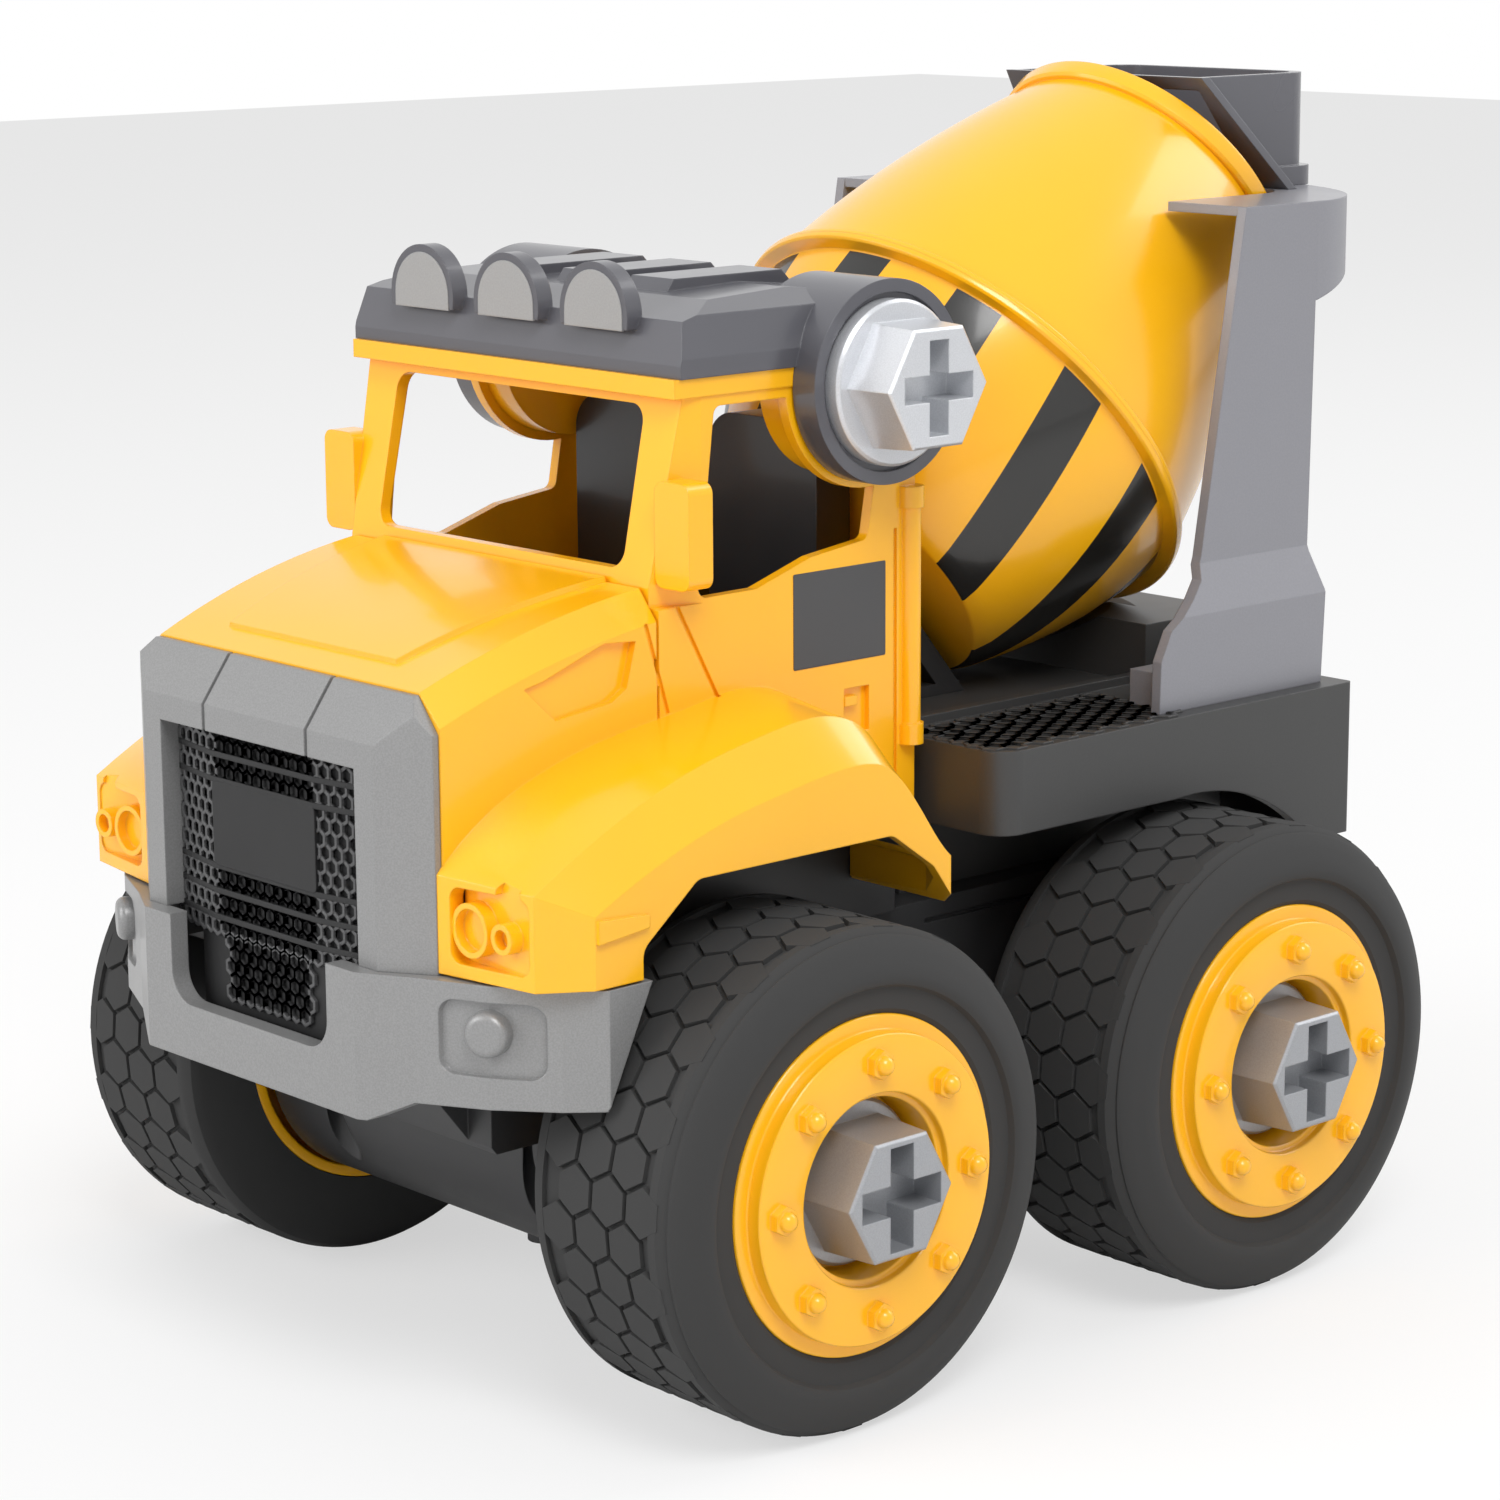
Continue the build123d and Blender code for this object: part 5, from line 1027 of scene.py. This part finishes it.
@dataclass
class Grille:
    """Black grille: swept slab, cross bars, bare plate and raised honeycomb."""

    front_y: float = -104.3
    set_back: float = 2.2
    half: float = 25.25
    lower_half: float = 20.2
    bend_x: float = 13.4
    sweep: float = 2.0
    bottom: float = 57.5
    waist: float = 75.0
    top: float = 105.35
    bars: tuple[float, ...] = (101.6, 97.5, 83.6, 79.6, 75.3)
    bar_height: float = 0.9
    proud: float = 0.9
    comb: Honeycomb = Honeycomb(22, 17, 2.42, 0.62, 0.7, 13.4, 2.0 / 11.9)
    lower_comb: Honeycomb = Honeycomb(9, 5, 2.42, 0.62, 0.7)

    def band(self, name: str, front: float, low: float, high: float, half: float, depth: float) -> bpy.types.Mesh:
        """A slab that is flat in the middle and swept back at its sides.

        Args:
            name: The mesh's name.
            front: Where its middle's front face lies.
            low: Its lower edge.
            high: Its upper edge.
            half: Half its width.
            depth: Its thickness.

        Returns:
            The mesh.
        """
        back = self.sweep * (half - self.bend_x) / (self.half - self.bend_x)
        line = [(-half, back), (-self.bend_x, 0.0), (self.bend_x, 0.0), (half, back)]
        outline = [Vector((x, front + y - CENTRE_Y, low)) for x, y in line]
        outline += [Vector((x, front + y + depth - CENTRE_Y, low)) for x, y in reversed(line)]
        return slab(name, outline, Vector((0, 0, high - low)))

    def build(self) -> None:
        """Builds the insert and its mesh."""
        face = self.front_y + self.set_back
        pieces = [
            self.band("upper", face, self.waist, self.top, self.half, 2.6),
            self.band("lower", face, self.bottom, self.waist + 0.5, self.lower_half, 2.6),
        ]
        pieces += [
            self.band("bar", face - self.proud, z - self.bar_height / 2, z + self.bar_height / 2, self.half, 1.6)
            for z in self.bars
        ]
        plate = softened([(-13.4, 83.8), (13.4, 83.8), (13.4, 97.3), (-13.4, 97.3)], 1.0)
        outline = [Vector((x, face - self.proud - 0.1 - CENTRE_Y, z)) for x, z in plate]
        pieces.append(slab("plate", outline, Vector((0, 1.2, 0))))
        insert = finished("grille_dressed", joined("grille", pieces), Paint.PIT)
        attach(insert, "chassis")
        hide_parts("grille_insert")
        upright = Matrix.Rotation(math.pi / 2, 4, "X")
        for name, comb, z in (("upper", self.comb, 90.4), ("lower", self.lower_comb, 67.6)):
            place = Matrix.Translation(Vector((0, face - 0.3 - CENTRE_Y, z)) * MM) @ upright
            mesh = finished(f"grille_mesh_{name}", comb.mesh(f"comb_{name}", Paint.MESH, place), Paint.MESH)
            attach(mesh, "chassis")
        LOG.info("built grille")


@dataclass
class Trim:
    """Small plain pieces: door label places, lamp faces and walkway mesh."""

    cab_half: float = 40.0
    label_y: tuple[float, float] = (-28.4, -8.2)
    label_z: tuple[float, float] = (112.0, 127.4)
    lamp_spacing: float = 21.5
    lamp_radius: float = 6.9
    lamp_front_y: float = -53.2
    lamp_z: float = 169.0
    walkway: Honeycomb = Honeycomb(6, 15, 3.5, 0.8, 0.5)

    def labels(self) -> None:
        """Plain plate on each door."""
        low_y, high_y = self.label_y
        low_z, high_z = self.label_z
        outline = softened([(low_y, low_z), (high_y, low_z), (high_y, high_z), (low_y, high_z)], 0.3)
        for hand, side in (("left", 1), ("right", -1)):
            corners = [Vector((side * (self.cab_half - 0.3), y - CENTRE_Y, z)) for y, z in outline]
            mesh = slab("label_" + hand, corners, Vector((side * 0.4, 0, 0)))
            plate = finished("door_plate_" + hand, mesh, Paint.LABEL)
            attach(plate, "chassis")

    def lamps(self) -> None:
        """Pale half-round face on each roof lamp."""
        for number, x in enumerate((-self.lamp_spacing, 0.0, self.lamp_spacing)):
            outline: Profile = [(-self.lamp_radius, -2.2)]
            for step in range(25):
                angle = math.pi * (1 - step / 24)
                outline.append((self.lamp_radius * math.cos(angle), self.lamp_radius * math.sin(angle)))
            outline.append((self.lamp_radius, -2.2))
            corners = [Vector((x + u, self.lamp_front_y + 0.3 - CENTRE_Y, self.lamp_z + v)) for u, v in outline]
            mesh = slab(f"lamp_{number}", corners, Vector((0, -0.42, 0)))
            face = finished(f"lamp_face_{number}", mesh, Paint.LAMP_GREY)
            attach(face, "chassis")

    def walkways(self) -> None:
        """Raised mesh on the deck at each side of the drum."""
        for hand, side in (("left", 1), ("right", -1)):
            place = Matrix.Translation(Vector((side * 44.6, 25.2 - CENTRE_Y, 96.7)) * MM)
            mesh = self.walkway.mesh("walkway_" + hand, Paint.DECK, place)
            grid = finished("walkway_mesh_" + hand, mesh, Paint.DECK)
            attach(grid, "chassis")

    def build(self) -> None:
        """Builds the small pieces."""
        self.labels()
        self.lamps()
        self.walkways()
        LOG.info("built trim")


@dataclass
class Studio:
    """Pale floor, soft lamps and the camera."""

    camera_spot: tuple[float, float, float] = (503.704, -464.178, 235.496)
    yaw: float = -0.833
    pitch: float = -0.212
    roll: float = -0.006
    lens: float = 97.79
    floor_half: float = 3000.0

    def lamp(self, name: str, spot: tuple[float, float, float], size: float, power: float) -> None:
        """Adds a soft square lamp that faces the truck.

        Args:
            name: Its name.
            spot: Where it is, in metres.
            size: Its width, in metres.
            power: Its power, in watts.
        """
        light = bpy.data.lights.new(name, "AREA")
        light.energy = power
        light.size = size
        made = bpy.data.objects.new(name, light)
        made.location = spot
        made.rotation_mode = "QUATERNION"
        made.rotation_quaternion = (Vector((0, 0, 0.1)) - Vector(spot)).to_track_quat("-Z", "Y")
        bpy.context.scene.collection.objects.link(made)

    def world(self) -> None:
        """Soft world light, white where the camera or a reflection sees it."""
        world = bpy.data.worlds.new("studio")
        bpy.context.scene.world = world
        world.use_nodes = True
        world.node_tree.nodes.clear()
        board = Board(world.node_tree)
        path = board.node("ShaderNodeLightPath")
        seen = board.math("ADD", Wire(board, path.outputs["Is Camera Ray"]), Wire(board, path.outputs["Is Glossy Ray"]))
        seen = board.math("ADD", seen, Wire(board, path.outputs["Is Transmission Ray"]), clamp=True)
        soft = board.wire("ShaderNodeBackground", None, {"Color": (1, 1, 1, 1), "Strength": 0.55})
        white = board.wire("ShaderNodeBackground", None, {"Color": (1, 1, 1, 1), "Strength": 1.0})
        mixed = board.wire("ShaderNodeMixShader", None, {0: seen, 1: soft, 2: white})
        board.node("ShaderNodeOutputWorld", None, {"Surface": mixed})

    def floor(self) -> None:
        """Pale floor that keeps the shadow and is otherwise as white as the background."""
        half = self.floor_half
        corners = [Vector((-half, -half, -0.02)), Vector((half, -half, -0.02)), Vector((half, half, -0.02)), Vector((-half, half, -0.02))]
        mesh = bpy.data.meshes.new("floor")
        mesh.from_pydata([tuple(corner * MM) for corner in corners], [], [[0, 1, 2, 3]])
        made = bpy.data.objects.new("floor", mesh)
        bpy.context.scene.collection.objects.link(made)
        paint = bpy.data.materials.new("floor_pale")
        paint.use_nodes = True
        paint.node_tree.nodes.clear()
        board = Board(paint.node_tree)
        path = board.node("ShaderNodeLightPath")
        camera = Wire(board, path.outputs["Is Camera Ray"])
        matt = board.wire("ShaderNodeBsdfDiffuse", None, {"Color": (0.86, 0.86, 0.86, 1)})
        white = board.wire("ShaderNodeEmission", None, {"Color": (1, 1, 1, 1), "Strength": 1.0})
        mixed = board.wire("ShaderNodeMixShader", None, {0: camera * 0.6, 1: matt, 2: white})
        board.node("ShaderNodeOutputMaterial", None, {"Surface": mixed})
        mesh.materials.append(paint)

    def camera(self) -> None:
        """Puts the camera at the viewing angle."""
        forward = Vector(
            (
                math.cos(self.pitch) * math.sin(self.yaw),
                math.cos(self.pitch) * math.cos(self.yaw),
                math.sin(self.pitch),
            )
        )
        right = Vector((math.cos(self.yaw), -math.sin(self.yaw), 0))
        up = right.cross(forward)
        tilted_right = right * math.cos(self.roll) + up * math.sin(self.roll)
        tilted_up = up * math.cos(self.roll) - right * math.sin(self.roll)
        turn = Matrix((tilted_right, tilted_up, -forward)).transposed().to_4x4()
        lens = bpy.data.cameras.new("camera")
        lens.lens = self.lens
        lens.sensor_width = 36.0
        lens.clip_start, lens.clip_end = 0.01, 20.0
        made = bpy.data.objects.new("camera", lens)
        made.matrix_world = Matrix.Translation(Vector(self.camera_spot) * MM) @ turn
        bpy.context.scene.collection.objects.link(made)
        bpy.context.scene.camera = made

    def build(self) -> None:
        """Sets up light, floor and camera."""
        bpy.context.scene.view_settings.view_transform = "Standard"
        self.world()
        self.floor()
        self.lamp("key_lamp", (0.9, -0.5, 1.3), 0.7, 14.0)
        self.lamp("front_lamp", (-0.5, -1.3, 0.7), 0.8, 9.0)
        self.lamp("rear_lamp", (0.3, 1.2, 1.0), 0.8, 6.0)
        self.camera()
        LOG.info("built studio")


def main() -> None:
    """Builds the truck's pieces in order, then the studio."""
    logging.basicConfig(level=logging.INFO, format="%(message)s")
    for assembly in (Carried(), Wheels(), Drum(), Grille(), Trim(), Studio()):
        assembly.build()


if __name__ == "__main__":
    main()
